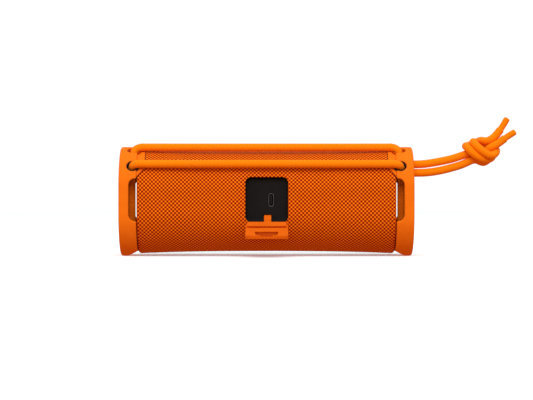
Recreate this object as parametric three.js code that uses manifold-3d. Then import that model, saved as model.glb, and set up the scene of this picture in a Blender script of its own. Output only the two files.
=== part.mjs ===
// Portable bluetooth speaker: a fabric-wrapped barrel of rounded-square section between two
// moulded end caps, with a cord strap, a charging port behind a hinged cover, five push buttons,
// one racetrack woofer, one tweeter and two passive radiators.
// Millimetres, +Z up, +X along the barrel. The port side faces -Y. Z = 0 is the resting plane.
import * as THREE from "three";
import { mergeVertices } from "three/addons/utils/BufferGeometryUtils.js";
import Module from "manifold-3d";

const wasm = await Module();
wasm.setup();

// ---------------------------------------------------------------- driving dimensions
const LENGTH = 206; // over both end caps
const CAP_DEPTH = 76; // end cap, along Y
const CAP_HEIGHT = 77; // end cap, along Z
const CAP_CORNER = 30; // corner radius of the cap's section
const CAP_INNER_X = 90.7; // where the cap's rim starts
const CAP_WALL = 3.2;
const CAP_CAVITY_X = 96.2; // inner face of the cap's end wall
const MID_Z = CAP_HEIGHT / 2; // height of the barrel's axis

const BODY_HALF_Y = 34.9; // fabric surface at mid length
const BODY_HALF_Z = 35.3;
const BODY_CORNER = 28.5;
const BODY_END_X = 90.4; // end of the fabric
const WAIST = 1.55; // growth of the section from mid length to the ends
const WAIST_POWER = 2.6;
const FABRIC = 1.2; // fabric thickness
const GAP = 0.3; // clearance kept between neighbouring pieces
const HOUSING_WALL = 2.4;
const HOUSING_END_X = 85.8;
const SPLIT_Y = 12; // parting plane of the housing

const VENT_Z = [24.6, 54.4]; // side vents of the end caps
const VENT_CORNER = 4.5;
const FOOT_X = 97.9; // inner edge of the foot under each cap
const FOOT_RISE = 4.0; // height of the undercut at the cap's rim

const EAR_X = 85.2; // inner edge of the strap ears on the caps
const HOLE_X = 93.4; // strap holes
const HOLE_1 = { y: -32.9, z: 63.8, r: 4.2 };
const HOLE_2 = { y: -19.5, z: 74.7, r: 4.6 };
const EXIT_Y = -21; // the strap's two ends leave the right cap's end face here
const EXIT_Z = [58.5, 64.4];
const EXIT_R = 3.25;

const CORD_D = 5.5; // strap cord
const TIP_D = 4.4; // thinner ends of the cord
const RUN_NEAR = { y: -34, z: 64.5 };
const RUN_TOP = { y: -17.5, z: 76.65 };

const PORT = { x: 0.2, w: 29.9, z0: 23.9, z1: 55.4, r: 3.9 }; // port opening in the fabric
const PORT_FLOOR_Y = -29.3; // face of the port panel
const COVER = { w: 29.4, gap: 0.35, t: 2.5, innerY: -30.45, pad: 1.0, padW: 27.4, padLen: 6.9, padY: -29.6 };
const COVER_AXIS = { y: -33.5, z: 22.3 }; // hinge axis of the port cover, along X
const COVER_OPEN = 107.4; // degrees from closed to the modelled, open position
const USB = { x: 3.3, z: 39.4, w: 3.2, h: 8.94 };
const TETHER = { x: 0.8, w: 5.1 };

const STRIP = { x: 43, y0: -3.4, y1: 12.6, r: 5 }; // button strip in the top of the barrel
const BUTTON_Y = 4.6;
const BUTTON_TRAVEL = 0.6;

const WOOFER = { x: -22, w: 84, h: 42, y: 25.2 }; // racetrack flange and its rear plane
const TWEETER = { x: 45, r: 12, y: 25.2 };
const RADIATOR_R = 24;

const SHIFT_Y = 13.8317; // puts the footprint of speaker and open cover on the origin

// ---------------------------------------------------------------- materials
const paint = (hex, roughness, metalness = 0) =>
  new THREE.MeshStandardMaterial({ color: hex, roughness, metalness });
const ORANGE_RUBBER = paint(0xf07514, 0.62);
const ORANGE_FABRIC = paint(0xcd520e, 0.95);
const ORANGE_CORD = paint(0xf4770b, 0.85);
const BLACK_PLASTIC = paint(0x1e1e1e, 0.55);
const DARK_PLASTIC = paint(0x2b2b2d, 0.6);
const BLACK_RUBBER = paint(0x161616, 0.8);
const STEEL = paint(0xb9bcc0, 0.3, 1);
const DARK_STEEL = paint(0x55585c, 0.4, 1);
const BOARD = paint(0x1d5a34, 0.5);
const CELL = paint(0x2f6fb0, 0.45);
const CONE = paint(0x2a2a2c, 0.7);
const ALU = paint(0xc9ccd1, 0.35, 1);
const CLEAR = paint(0xe8eef2, 0.2);

// ---------------------------------------------------------------- solids from geometries
function toSolid(geometry) {
  const g = geometry.clone();
  g.deleteAttribute("normal");
  g.deleteAttribute("uv");
  const merged = mergeVertices(g, 1e-4);
  const make = (tri) =>
    new wasm.Manifold(
      new wasm.Mesh({
        numProp: 3,
        vertProperties: new Float32Array(merged.attributes.position.array),
        triVerts: tri,
      }),
    );
  const tri = new Uint32Array(merged.index.array);
  const solid = make(tri);
  if (solid.volume() >= 0) return solid;
  for (let i = 0; i < tri.length; i += 3)
    [tri[i + 1], tri[i + 2]] = [tri[i + 2], tri[i + 1]];
  return make(tri);
}

function toGeometry(solid) {
  const m = solid.getMesh();
  const p = new Float32Array(m.numVert * 3);
  for (let i = 0; i < m.numVert; i++)
    p.set(m.vertProperties.subarray(i * m.numProp, i * m.numProp + 3), i * 3);
  const g = new THREE.BufferGeometry();
  g.setAttribute("position", new THREE.BufferAttribute(p, 3));
  g.setIndex(new THREE.BufferAttribute(new Uint32Array(m.triVerts), 1));
  g.computeVertexNormals();
  return g;
}

const join = (...s) => s.reduce((a, b) => a.add(b));
const cut = (a, ...s) => s.reduce((x, b) => x.subtract(b), a);

// ---------------------------------------------------------------- outlines
// Rounded rectangle as points, counter-clockwise, centred on (cx, cy), grown outwards by grow.
function roundedPoints(hw, hh, r, seg, cx = 0, cy = 0, grow = 0) {
  const pts = [];
  const R = r + grow;
  [
    [1, 1, 0],
    [-1, 1, 90],
    [-1, -1, 180],
    [1, -1, 270],
  ].forEach(([sx, sy, a0]) => {
    for (let i = 0; i <= seg; i++) {
      const a = THREE.MathUtils.degToRad(a0 + (90 * i) / seg);
      pts.push(
        new THREE.Vector2(
          cx + sx * (hw - r) + R * Math.cos(a),
          cy + sy * (hh - r) + R * Math.sin(a),
        ),
      );
    }
  });
  return pts;
}
const circlePoints = (r, seg, cx = 0, cy = 0) =>
  Array.from({ length: seg }, (_, i) => {
    const a = (2 * Math.PI * i) / seg;
    return new THREE.Vector2(cx + r * Math.cos(a), cy + r * Math.sin(a));
  });

// Sections of the barrel and of the caps, in the YZ plane.
const capSection = (grow) =>
  roundedPoints(CAP_DEPTH / 2, CAP_HEIGHT / 2, CAP_CORNER, 7, 0, MID_Z, grow);
const waist = (x) => WAIST * Math.pow(Math.abs(x) / 90, WAIST_POWER);
const bodySection = (x, grow) =>
  roundedPoints(BODY_HALF_Y, BODY_HALF_Z, BODY_CORNER, 6, 0, MID_Z, grow + waist(x));

// Closed body through rings of equal point count. place() turns a station and a 2D point into 3D.
function loft(stations, place) {
  const n = stations[0].pts.length;
  const pos = [];
  const idx = [];
  stations.forEach((s) => s.pts.forEach((p) => pos.push(...place(s.at, p))));
  for (let k = 0; k + 1 < stations.length; k++)
    for (let i = 0; i < n; i++) {
      const j = (i + 1) % n;
      const a = k * n + i,
        b = k * n + j,
        c = a + n,
        d = b + n;
      idx.push(a, b, d, a, d, c);
    }
  const faces = THREE.ShapeUtils.triangulateShape(stations[0].pts, []);
  const last = (stations.length - 1) * n;
  faces.forEach(([a, b, c]) => {
    idx.push(a, c, b);
    idx.push(last + a, last + b, last + c);
  });
  const g = new THREE.BufferGeometry();
  g.setAttribute("position", new THREE.Float32BufferAttribute(pos, 3));
  g.setIndex(idx);
  return toSolid(g);
}
const loftX = (stations) => loft(stations, (x, p) => [x, p.x, p.y]); // outline in (Y, Z)
const loftY = (stations) => loft(stations, (y, p) => [p.x, y, p.y]); // outline in (X, Z)
const loftZ = (stations) => loft(stations, (z, p) => [p.x, p.y, z]); // outline in (X, Y)

// Straight prisms along each axis.
function prism(pts, length, holes = []) {
  const shape = new THREE.Shape(pts);
  holes.forEach((h) => shape.holes.push(new THREE.Path(h)));
  return new THREE.ExtrudeGeometry(shape, { depth: length, bevelEnabled: false, steps: 1 });
}
function prismX(pts, x0, x1, holes) {
  const g = prism(pts, x1 - x0, holes);
  g.applyMatrix4(new THREE.Matrix4().set(0, 0, 1, x0, 1, 0, 0, 0, 0, 1, 0, 0, 0, 0, 0, 1));
  return toSolid(g);
}
function prismY(pts, y0, y1, holes) {
  const g = prism(pts, y1 - y0, holes);
  g.applyMatrix4(new THREE.Matrix4().set(1, 0, 0, 0, 0, 0, -1, y1, 0, 1, 0, 0, 0, 0, 0, 1));
  return toSolid(g);
}
function prismZ(pts, z0, z1, holes) {
  const g = prism(pts, z1 - z0, holes);
  g.translate(0, 0, z0);
  return toSolid(g);
}
function box(x0, x1, y0, y1, z0, z1) {
  const g = new THREE.BoxGeometry(x1 - x0, y1 - y0, z1 - z0);
  g.translate((x0 + x1) / 2, (y0 + y1) / 2, (z0 + z1) / 2);
  return toSolid(g);
}
// Cylinder between two points.
function rod(a, b, r, seg = 20, r2 = r) {
  const A = new THREE.Vector3(...a),
    B = new THREE.Vector3(...b);
  const g = new THREE.CylinderGeometry(r2, r, A.distanceTo(B), seg);
  g.applyQuaternion(
    new THREE.Quaternion().setFromUnitVectors(
      new THREE.Vector3(0, 1, 0),
      B.clone().sub(A).normalize(),
    ),
  );
  g.translate((A.x + B.x) / 2, (A.y + B.y) / 2, (A.z + B.z) / 2);
  return toSolid(g);
}
// Turned body: closed profile of [radius, position] about an axis ("x" or "y") through (c1, c2).
function turned(profile, axis, c1, c2, seg = 32) {
  const pts = profile.map(([r, h]) => new THREE.Vector2(r, h));
  if (profile[0][0] > 0) pts.push(pts[0].clone());
  const g = new THREE.LatheGeometry(pts, seg);
  if (axis === "x") {
    g.rotateZ(-Math.PI / 2);
    g.translate(0, c1, c2);
  } else g.translate(c1, 0, c2);
  return toSolid(g);
}
const mirrored = (solid) => {
  const g = toGeometry(solid);
  g.scale(-1, 1, 1);
  return toSolid(g);
};

// A cord along a route: round section of 8 sides swept along a smooth curve.
class Route extends THREE.Curve {
  constructor(points) {
    super();
    this.spline = new THREE.CatmullRomCurve3(
      points.map((p) => new THREE.Vector3(...p)),
      false,
      "centripetal",
    );
  }
  getPoint(t, target) {
    return this.spline.getPoint(t, target);
  }
  getPointAt(u, target) {
    return this.spline.getPoint(u, target);
  }
  getTangentAt(u, target) {
    return this.spline.getTangent(u, target);
  }
}
function cord(points, d, perSpan, sides = 8) {
  const g = new THREE.ExtrudeGeometry(
    new THREE.Shape(circlePoints(d / 2, sides)),
    {
      steps: (points.length - 1) * perSpan,
      bevelEnabled: false,
      extrudePath: new Route(points),
    },
  );
  return toSolid(g);
}

// ---------------------------------------------------------------- scene graph
const root = new THREE.Group();
root.position.set(0, SHIFT_Y, 0);
function piece(name, solid, material, parent = root) {
  const m = new THREE.Mesh(toGeometry(solid), material);
  m.name = name;
  parent.add(m);
  return m;
}

// ---------------------------------------------------------------- barrel skin regions
const stationsX = [-90.4, -89.9, -88.9, -87.4, -72, -54, -32, 0, 32, 54, 72, 87.4, 88.9, 89.9, 90.4];
const hem = { 90.4: -1.15, 89.9: -0.6, 88.9: -0.15 };
const bodyLoft = (xs, grow, rounded = false) =>
  loftX(
    xs.map((x) => ({
      at: x,
      pts: bodySection(x, grow + (rounded ? hem[Math.abs(x)] || 0 : 0)),
    })),
  );
const innerXs = [-92, -72, -54, -32, 0, 32, 54, 72, 92];

// Strap ear: the patch of the cap that reaches inwards over the top rear shoulder of the barrel.
function ear(growOut, growIn, pad, xEnd) {
  const shell = cut(
    loftX([84, 88, 93].map((x) => ({ at: x, pts: bodySection(90, growOut) }))),
    loftX([83, 94].map((x) => ({ at: x, pts: bodySection(90, growIn) }))),
  );
  const edge = (x) => 61.5 - 1.109 * (x - EAR_X) - 1.5 * pad; // slanted lower edge
  const outline = [
    new THREE.Vector2(EAR_X - pad, edge(EAR_X - pad)),
    new THREE.Vector2(xEnd, edge(xEnd)),
    new THREE.Vector2(xEnd, 90),
    new THREE.Vector2(EAR_X - pad, 90),
  ];
  return shell.intersect(prismY(outline, -60, 2 + pad));
}

// ---------------------------------------------------------------- end caps
const radial = (h, t) => {
  const cy = -(CAP_DEPTH / 2 - CAP_CORNER),
    cz = MID_Z + CAP_HEIGHT / 2 - CAP_CORNER;
  const d = new THREE.Vector2(h.y - cy, h.z - cz).normalize();
  return [HOLE_X, cy + d.x * t, cz + d.y * t];
};
const BOSSES = [
  [22, 62.5],
  [22, 14.5],
  [-22, 14.5],
  [-2.5, 68.8],
];
function endCap(exit) {
  let s = loftX([
    { at: CAP_INNER_X, pts: capSection(-0.6) },
    { at: CAP_INNER_X + 0.6, pts: capSection(0) },
    { at: LENGTH / 2 - 1.5, pts: capSection(0) },
    { at: LENGTH / 2 - 0.5, pts: capSection(-0.45) },
    { at: LENGTH / 2, pts: capSection(-1.5) },
  ]);
  s = cut(
    s,
    loftX([
      { at: 85, pts: capSection(-CAP_WALL) },
      { at: CAP_CAVITY_X, pts: capSection(-CAP_WALL) },
    ]),
  );
  // pocket where the cord turns inside the cap
  s = cut(
    s,
    prismX(roundedPoints(11, 10.2, 4, 3, -22, 63.6), 95, 99.4).intersect(
      loftX([
        { at: 94, pts: capSection(-CAP_WALL) },
        { at: 100, pts: capSection(-CAP_WALL) },
      ]),
    ),
  );
  // ear, and bosses for the four screws
  s = join(s, ear(0.15, -1.3, 0, CAP_INNER_X + 0.8));
  for (const [y, z] of BOSSES) s = join(s, rod([90.9, y, z], [CAP_CAVITY_X + 0.4, y, z], 3, 16));
  for (const [y, z] of BOSSES) s = cut(s, rod([90, y, z], [CAP_CAVITY_X + 1.2, y, z], 1.55, 12));
  // vents at both sides, open towards the barrel
  const vc = (VENT_Z[0] + VENT_Z[1]) / 2,
    vh = (VENT_Z[1] - VENT_Z[0]) / 2;
  s = cut(s, prismY(roundedPoints(8, vh, VENT_CORNER, 5, 88, vc), -45, 45));
  // undercut behind the foot
  s = cut(
    s,
    prismY(
      [
        new THREE.Vector2(FOOT_X, -5),
        new THREE.Vector2(FOOT_X, 0),
        new THREE.Vector2(90, FOOT_RISE),
        new THREE.Vector2(84, FOOT_RISE),
        new THREE.Vector2(84, -5),
      ].reverse(),
      -45,
      45,
    ).subtract(box(80, 110, -60, 60, 8, 20)),
  );
  // strap holes
  s = cut(s, rod(radial(HOLE_1, 22), radial(HOLE_1, 36), HOLE_1.r, 24));
  s = cut(s, rod(radial(HOLE_2, 22), radial(HOLE_2, 36), HOLE_2.r, 24));
  if (exit)
    s = cut(
      s,
      prismX(
        roundedPoints(
          EXIT_R,
          (EXIT_Z[1] - EXIT_Z[0]) / 2 + EXIT_R,
          EXIT_R,
          5,
          EXIT_Y,
          (EXIT_Z[0] + EXIT_Z[1]) / 2,
        ),
        94,
        110,
      ),
    );
  // shallow seat of the end disc
  s = cut(s, turned([[0, 101.9], [22.4, 101.9], [22.4, 104], [0, 104]], "x", 0, MID_Z, 28));
  return s;
}
piece("end_cap_right", endCap(true), ORANGE_RUBBER);
piece("end_cap_left", mirrored(endCap(false)), ORANGE_RUBBER);

// Domed disc set into each end face, over the moulding's gate mark.
const endDisc = turned(
  [[0, 102.2], [22, 102.2], [22, 102.7], [21.5, 102.95], [16, 102.95], [15, 102.6], [14, 102.95], [0, 102.95]],
  "x",
  0,
  MID_Z,
  28,
);
piece("end_disc_right", endDisc, ORANGE_RUBBER);
piece("end_disc_left", mirrored(endDisc), ORANGE_RUBBER);

// ---------------------------------------------------------------- port opening outlines (X, Z)
const portCz = (PORT.z0 + PORT.z1) / 2,
  portHh = (PORT.z1 - PORT.z0) / 2;
const portOutline = (grow, seg = 5) =>
  roundedPoints(PORT.w / 2, portHh, PORT.r, seg, PORT.x, portCz, grow);
const stripOutline = (grow) =>
  roundedPoints(
    STRIP.x,
    (STRIP.y1 - STRIP.y0) / 2,
    STRIP.r,
    4,
    0,
    (STRIP.y0 + STRIP.y1) / 2,
    grow,
  );

// ---------------------------------------------------------------- fabric sleeve
{
  let s = cut(bodyLoft(stationsX, 0, true), bodyLoft(innerXs, -FABRIC));
  s = cut(s, prismY(portOutline(0), -60, 0));
  s = cut(s, prismZ(stripOutline(GAP), 50, 90));
  const e = ear(3, -3, GAP, 95);
  s = cut(s, e, mirrored(e));
  piece("fabric_sleeve", s, ORANGE_FABRIC);
}

// ---------------------------------------------------------------- housing
const housingXs = [-HOUSING_END_X, -70, -50, -25, 0, 25, 50, 70, HOUSING_END_X];
const woofOutline = (w, h, seg = 5) => roundedPoints(w / 2, h / 2, h / 2, seg, WOOFER.x, MID_Z);
{
  let shell = cut(
    bodyLoft(housingXs, -FABRIC - GAP),
    bodyLoft(innerXs, -FABRIC - GAP - HOUSING_WALL),
  );
  shell = cut(shell, prismZ(stripOutline(GAP), 50, 90));
  shell = cut(shell, prismY(portOutline(1.2 + GAP), -60, 0));
  const rear = cut(shell, box(-120, 120, SPLIT_Y - GAP / 2, 60, -10, 90));
  piece("housing_rear", rear, DARK_PLASTIC);

  // front half with the flat baffle that carries both drivers
  let front = cut(shell, box(-120, 120, -60, SPLIT_Y + GAP / 2, -10, 90));
  const baffle = box(-70, 62, 25.6, 28, 10, 67).intersect(bodyLoft(innerXs, -FABRIC - GAP - 1));
  front = join(front, baffle);
  front = cut(
    front,
    prismY(woofOutline(78, 36), 20, 60),
    prismY(circlePoints(10, 24, TWEETER.x, MID_Z), 20, 60),
  );
  piece("housing_front", front, DARK_PLASTIC);
}

// ---------------------------------------------------------------- end plates and passive radiators
const plateXs = [HOUSING_END_X + GAP, 88.9];
function endPlate() {
  let s = loftX(plateXs.map((x) => ({ at: x, pts: bodySection(88, -FABRIC - GAP) })));
  s = cut(s, turned([[0, 80], [RADIATOR_R + 0.35, 80], [RADIATOR_R + 0.35, 95], [0, 95]], "x", 0, MID_Z, 26));
  for (const [y, z] of BOSSES) s = cut(s, rod([84, y, z], [90, y, z], 1.6, 12));
  return s;
}
piece("end_plate_right", endPlate(), DARK_PLASTIC);
piece("end_plate_left", mirrored(endPlate()), DARK_PLASTIC);

// Half-roll surround, and the weighted plate that slides through its ring.
const surround = turned(
  [[24, 86.4], [24, 88.6], [22.6, 88.6], [21.3, 89.8], [19.1, 89.8], [17.9, 88.6], [16.6, 88.6],
   [16.6, 87.4], [18.6, 87.4], [20.2, 88.8], [21.9, 87.4], [22.4, 86.4]],
  "x", 0, MID_Z, 26,
);
piece("radiator_surround_right", surround, BLACK_RUBBER);
piece("radiator_surround_left", mirrored(surround), BLACK_RUBBER);
const plate = turned([[0, 86.2], [16.2, 86.2], [16.2, 88.4], [14.6, 89.1], [0, 89.1]], "x", 0, MID_Z, 26);
const radiatorRight = new THREE.Group();
const radiatorLeft = new THREE.Group();
root.add(radiatorRight, radiatorLeft);
piece("radiator_plate_right", plate, DARK_STEEL, radiatorRight);
piece("radiator_plate_left", mirrored(plate), DARK_STEEL, radiatorLeft);

// Four screws through each end plate into the cap's bosses, driven from inside.
BOSSES.forEach(([y, z], i) => {
  const s = join(
    rod([84.3, y, z], [85.8, y, z], 2.4, 12),
    rod([85.7, y, z], [95.4, y, z], 1.25, 10),
  );
  piece(`cap_screw_right_${i + 1}`, s, STEEL);
  piece(`cap_screw_left_${i + 1}`, mirrored(s), STEEL);
});

// ---------------------------------------------------------------- woofer
{
  const y = WOOFER.y;
  let basket = loftY([
    { at: y, pts: woofOutline(84, 42) },
    { at: y - 2, pts: woofOutline(84, 42) },
    { at: y - 2.05, pts: woofOutline(74, 34) },
    { at: y - 13, pts: woofOutline(40, 26) },
  ]);
  basket = cut(
    basket,
    loftY([
      { at: y + 1, pts: woofOutline(78, 36) },
      { at: y - 1.2, pts: woofOutline(76, 34.5) },
      { at: y - 1.25, pts: woofOutline(70.5, 30.5) },
      { at: y - 11.6, pts: woofOutline(36, 22) },
    ]),
    prismY(circlePoints(9, 24, WOOFER.x, MID_Z), y - 20, y),
  );
  piece("woofer_basket", basket, DARK_STEEL);
  piece(
    "woofer_magnet",
    turned([[0, 2.4], [16, 2.4], [16, 11.9], [8.6, 11.9], [8.6, 4.4], [6.9, 4.4], [6.9, 12.3], [0, 12.3]], "y", WOOFER.x, MID_Z, 24),
    DARK_STEEL,
  );
  // rubber ring between basket and cone
  const ring = cut(
    loftY([
      { at: y + 0.2, pts: woofOutline(76.8, 35.4) },
      { at: y - 0.9, pts: woofOutline(75.4, 34) },
    ]),
    prismY(woofOutline(66, 27), y - 5, y + 5),
  );
  piece("woofer_surround", ring, BLACK_RUBBER);
  const moving = new THREE.Group();
  root.add(moving);
  let cone = loftY([
    { at: y, pts: woofOutline(65.2, 26.2) },
    { at: y - 1.2, pts: woofOutline(65.2, 26.2) },
    { at: y - 8.4, pts: woofOutline(22, 17) },
  ]);
  cone = cut(
    cone,
    loftY([
      { at: y + 1, pts: woofOutline(64.6, 25.6) },
      { at: y - 0.6, pts: woofOutline(62.6, 23.6) },
      { at: y - 7, pts: woofOutline(18.6, 14.4) },
    ]),
  );
  // voice coil former, and the domed dust cap
  cone = join(
    cone,
    turned([[7.2, 6.6], [8.3, 6.6], [8.3, y - 7.6], [7.2, y - 7.6]], "y", WOOFER.x, MID_Z, 20),
    turned([[0, y - 8], [8.2, y - 8], [7.8, y - 6.2], [5.4, y - 4.6], [2.6, y - 3.9], [0, y - 3.7]], "y", WOOFER.x, MID_Z, 20),
  );
  piece("woofer_cone", cone, CONE, moving);
}

// ---------------------------------------------------------------- tweeter
piece(
  "tweeter_body",
  turned(
    [[0, 12.6], [8.4, 12.6], [8.4, 20.6], [11.6, 21.4], [11.6, 25.2], [9.4, 25.2], [8.9, 23.6], [0, 23.6]],
    "y", TWEETER.x, MID_Z, 22,
  ),
  DARK_STEEL,
);
piece(
  "tweeter_dome",
  turned([[0, 24.2], [8.2, 24.2], [8.2, 24.7], [6.9, 26.6], [4.2, 28], [0, 28.6]], "y", TWEETER.x, MID_Z, 22),
  CLEAR,
);

// ---------------------------------------------------------------- battery and boards
piece("battery_cell", rod([-62, -12, 20.4], [8, -12, 20.4], 10.6, 28), CELL);
piece(
  "battery_holder",
  cut(
    box(-65, 11, -20.5, -3.5, 12.6, 19.4),
    rod([-62.3, -12, 20.4], [8.3, -12, 20.4], 10.95, 28),
    box(-50, -4, -30, 10, 10, 12.8),
  ),
  BLACK_PLASTIC,
);
piece(
  "main_board",
  join(
    box(-58, 34, -24, -0.5, 54, 55.6),
    box(-50, -34, -20, -6, 55.5, 58),
    box(-20, -8, -18, -6, 55.5, 57),
    box(8, 28, -19, -9, 55.5, 60),
    rod([-28, -12, 55.5], [-28, -12, 63], 3.2, 14),
  ),
  BOARD,
);
piece(
  "button_board",
  join(
    box(-41, 41, -2.4, 11.6, 64.8, 66.2),
    ...[-33, -20, 2, 17.5, 33].map((x) => box(x - 1.8, x + 1.8, BUTTON_Y - 1.8, BUTTON_Y + 1.8, 66.1, 67.2)),
  ),
  BOARD,
);
piece("usb_board", join(box(-11, 14, -19.9, -18.6, 32, 51), box(-8, 0, -18.7, -17, 36, 44)), BOARD);

// ---------------------------------------------------------------- port tray, connector, cover
{
  let tray = loftY([
    { at: -45, pts: portOutline(1.2) },
    { at: PORT_FLOOR_Y + 1.8, pts: portOutline(1.2) },
  ]).intersect(bodyLoft(innerXs, -FABRIC - GAP));
  tray = cut(
    tray,
    loftY([
      { at: -45, pts: portOutline(0) },
      { at: -30.6, pts: portOutline(0) },
      { at: PORT_FLOOR_Y, pts: portOutline(-1.0) },
    ]),
    prismY(
      roundedPoints(USB.w / 2 + 0.35, USB.h / 2 + 0.35, USB.w / 2 + 0.34, 5, USB.x, USB.z),
      -40,
      0,
    ),
    box(TETHER.x - 2.9, TETHER.x + 2.9, -31, -20, 27.2, 29.2),
  );
  piece("port_tray", tray, BLACK_PLASTIC);

  let usb = prismY(roundedPoints(USB.w / 2, USB.h / 2, USB.w / 2 - 0.01, 6, USB.x, USB.z), PORT_FLOOR_Y + 0.1, -20.2);
  usb = cut(
    usb,
    prismY(roundedPoints(1.28, 4.17, 1.27, 6, USB.x, USB.z), -40, -23),
  );
  usb = join(usb, box(USB.x - 0.35, USB.x + 0.35, PORT_FLOOR_Y + 0.9, -22.5, USB.z - 3.35, USB.z + 3.35));
  piece("usb_connector", usb, STEEL);

  // The cover is drawn closed, then swung open about its hinge axis.
  const cover = new THREE.Group();
  cover.position.set(0, COVER_AXIS.y, COVER_AXIS.z);
  cover.rotation.x = THREE.MathUtils.degToRad(COVER_OPEN);
  root.add(cover);
  const zBottom = PORT.z0 + COVER.gap,
    zTop = PORT.z1 - COVER.gap;
  const cz = (zBottom + zTop) / 2,
    hh = (zTop - zBottom) / 2;
  const outline = roundedPoints(COVER.w / 2, hh, PORT.r - 0.2, 5, PORT.x, cz);
  const skin = (grow) => bodyLoft([-60, -30, 0, 30, 60], grow);
  // the inner face flattens towards both ends, where the skin curves in, so it clears the recess
  let c = prismY(outline, -50, COVER.innerY).intersect(skin(0)).subtract(skin(-COVER.t));
  // raised sealing pad along the hinged edge
  const pad = prismY(
    roundedPoints(COVER.padW / 2, COVER.padLen / 2, 1.6, 4, PORT.x, zBottom + COVER.padLen / 2 + 0.75),
    -50,
    COVER.padY,
  )
    .intersect(skin(-COVER.t + 0.6))
    .subtract(skin(-COVER.t - COVER.pad));
  c = join(c, pad);
  // finger scoop near the free edge
  const scoop = [];
  for (let i = 0; i <= 12; i++) {
    const a = (Math.PI * i) / 12;
    scoop.push(new THREE.Vector2(PORT.x - 0.2 + 8.1 * Math.cos(a), zTop - 12.75 + 11.4 * Math.sin(a)));
  }
  c = cut(c, prismY(scoop, -50, -20).intersect(skin(-1)));
  const g = toGeometry(c);
  g.translate(0, -COVER_AXIS.y, -COVER_AXIS.z);
  const m = new THREE.Mesh(g, ORANGE_RUBBER);
  m.name = "port_cover";
  cover.add(m);

  // Rubber tongue that anchors the cover: a head behind the panel, then down and out to the cover.
  const w = TETHER.w / 2;
  const tongue = [
    [-26.2, 26.6], [-26.2, 29.0], [-30.6, 29.0], [-32.2, 28.2], [-34.9, 25.4], [-35.3, 25.0],
    [-34.1, 24.75], [-33.4, 25.0], [-31.6, 27.0], [-30.5, 27.6], [-27.4, 27.6], [-27.4, 26.6],
  ].map(([a, b]) => new THREE.Vector2(a, b));
  piece("cover_tether", prismX(tongue, TETHER.x - w, TETHER.x + w), ORANGE_RUBBER);
}

// ---------------------------------------------------------------- button strip and buttons
{
  const skinTop = (grow) => bodyLoft(innerXs, grow);
  const buttons = [
    ["power_button", -33, () => circlePoints(3.7, 20, -33, BUTTON_Y)],
    ["pairing_button", -20, () => circlePoints(3.7, 20, -20, BUTTON_Y)],
    ["volume_down_button", 2, () => roundedPoints(4.6, 1.6, 0.8, 3, 2, BUTTON_Y)],
    ["play_button", 17.5, () => [
      new THREE.Vector2(14.2, BUTTON_Y - 4.4), new THREE.Vector2(14.9, BUTTON_Y - 4.7),
      new THREE.Vector2(21.6, BUTTON_Y - 0.5), new THREE.Vector2(21.6, BUTTON_Y + 0.5),
      new THREE.Vector2(14.9, BUTTON_Y + 4.7), new THREE.Vector2(14.2, BUTTON_Y + 4.4),
    ]],
    ["volume_up_button", 33, () => {
      const a = 4.6, b = 1.6, p = [];
      [[a, -b], [a, b], [b, b], [b, a], [-b, a], [-b, b], [-a, b], [-a, -b], [-b, -b], [-b, -a], [b, -a], [b, -b]].forEach(
        ([x, y]) => p.push(new THREE.Vector2(33 + x, BUTTON_Y + y)),
      );
      return p;
    }],
  ];
  // An outline grown by moving each edge outwards.
  const grown = (pts, d) => {
    const n = pts.length;
    return pts.map((p, i) => {
      const a = pts[(i + n - 1) % n], b = pts[(i + 1) % n];
      const e1 = p.clone().sub(a).normalize(), e2 = b.clone().sub(p).normalize();
      const n1 = new THREE.Vector2(e1.y, -e1.x), n2 = new THREE.Vector2(e2.y, -e2.x);
      const m = n1.clone().add(n2).normalize();
      return p.clone().addScaledVector(m, d / Math.max(0.3, m.dot(n1)));
    });
  };
  let strip = prismZ(stripOutline(0), 60, 90).intersect(skinTop(0.4)).subtract(skinTop(-3.7));
  for (const [, , outline] of buttons) strip = cut(strip, prismZ(grown(outline(), 0.35), 50, 90));
  strip = cut(strip, prismZ(circlePoints(1.5, 14, -8.6, BUTTON_Y), 50, 90));
  piece("button_strip", strip, ORANGE_RUBBER);
  piece(
    "status_light",
    prismZ(circlePoints(1.2, 14, -8.6, BUTTON_Y), 67, 90).intersect(skinTop(0.4)),
    CLEAR,
  );
  for (const [name, x, outline] of buttons) {
    const holder = new THREE.Group();
    root.add(holder);
    // raised symbol on top, wide foot under the strip, stem down to the switch
    const top = prismZ(outline(), 69, 90).intersect(skinTop(1.15));
    const foot = prismZ(grown(outline(), 0.9), 68.4, 69.3);
    piece(name, join(top, foot), ORANGE_RUBBER, holder);
  }
}

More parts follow.
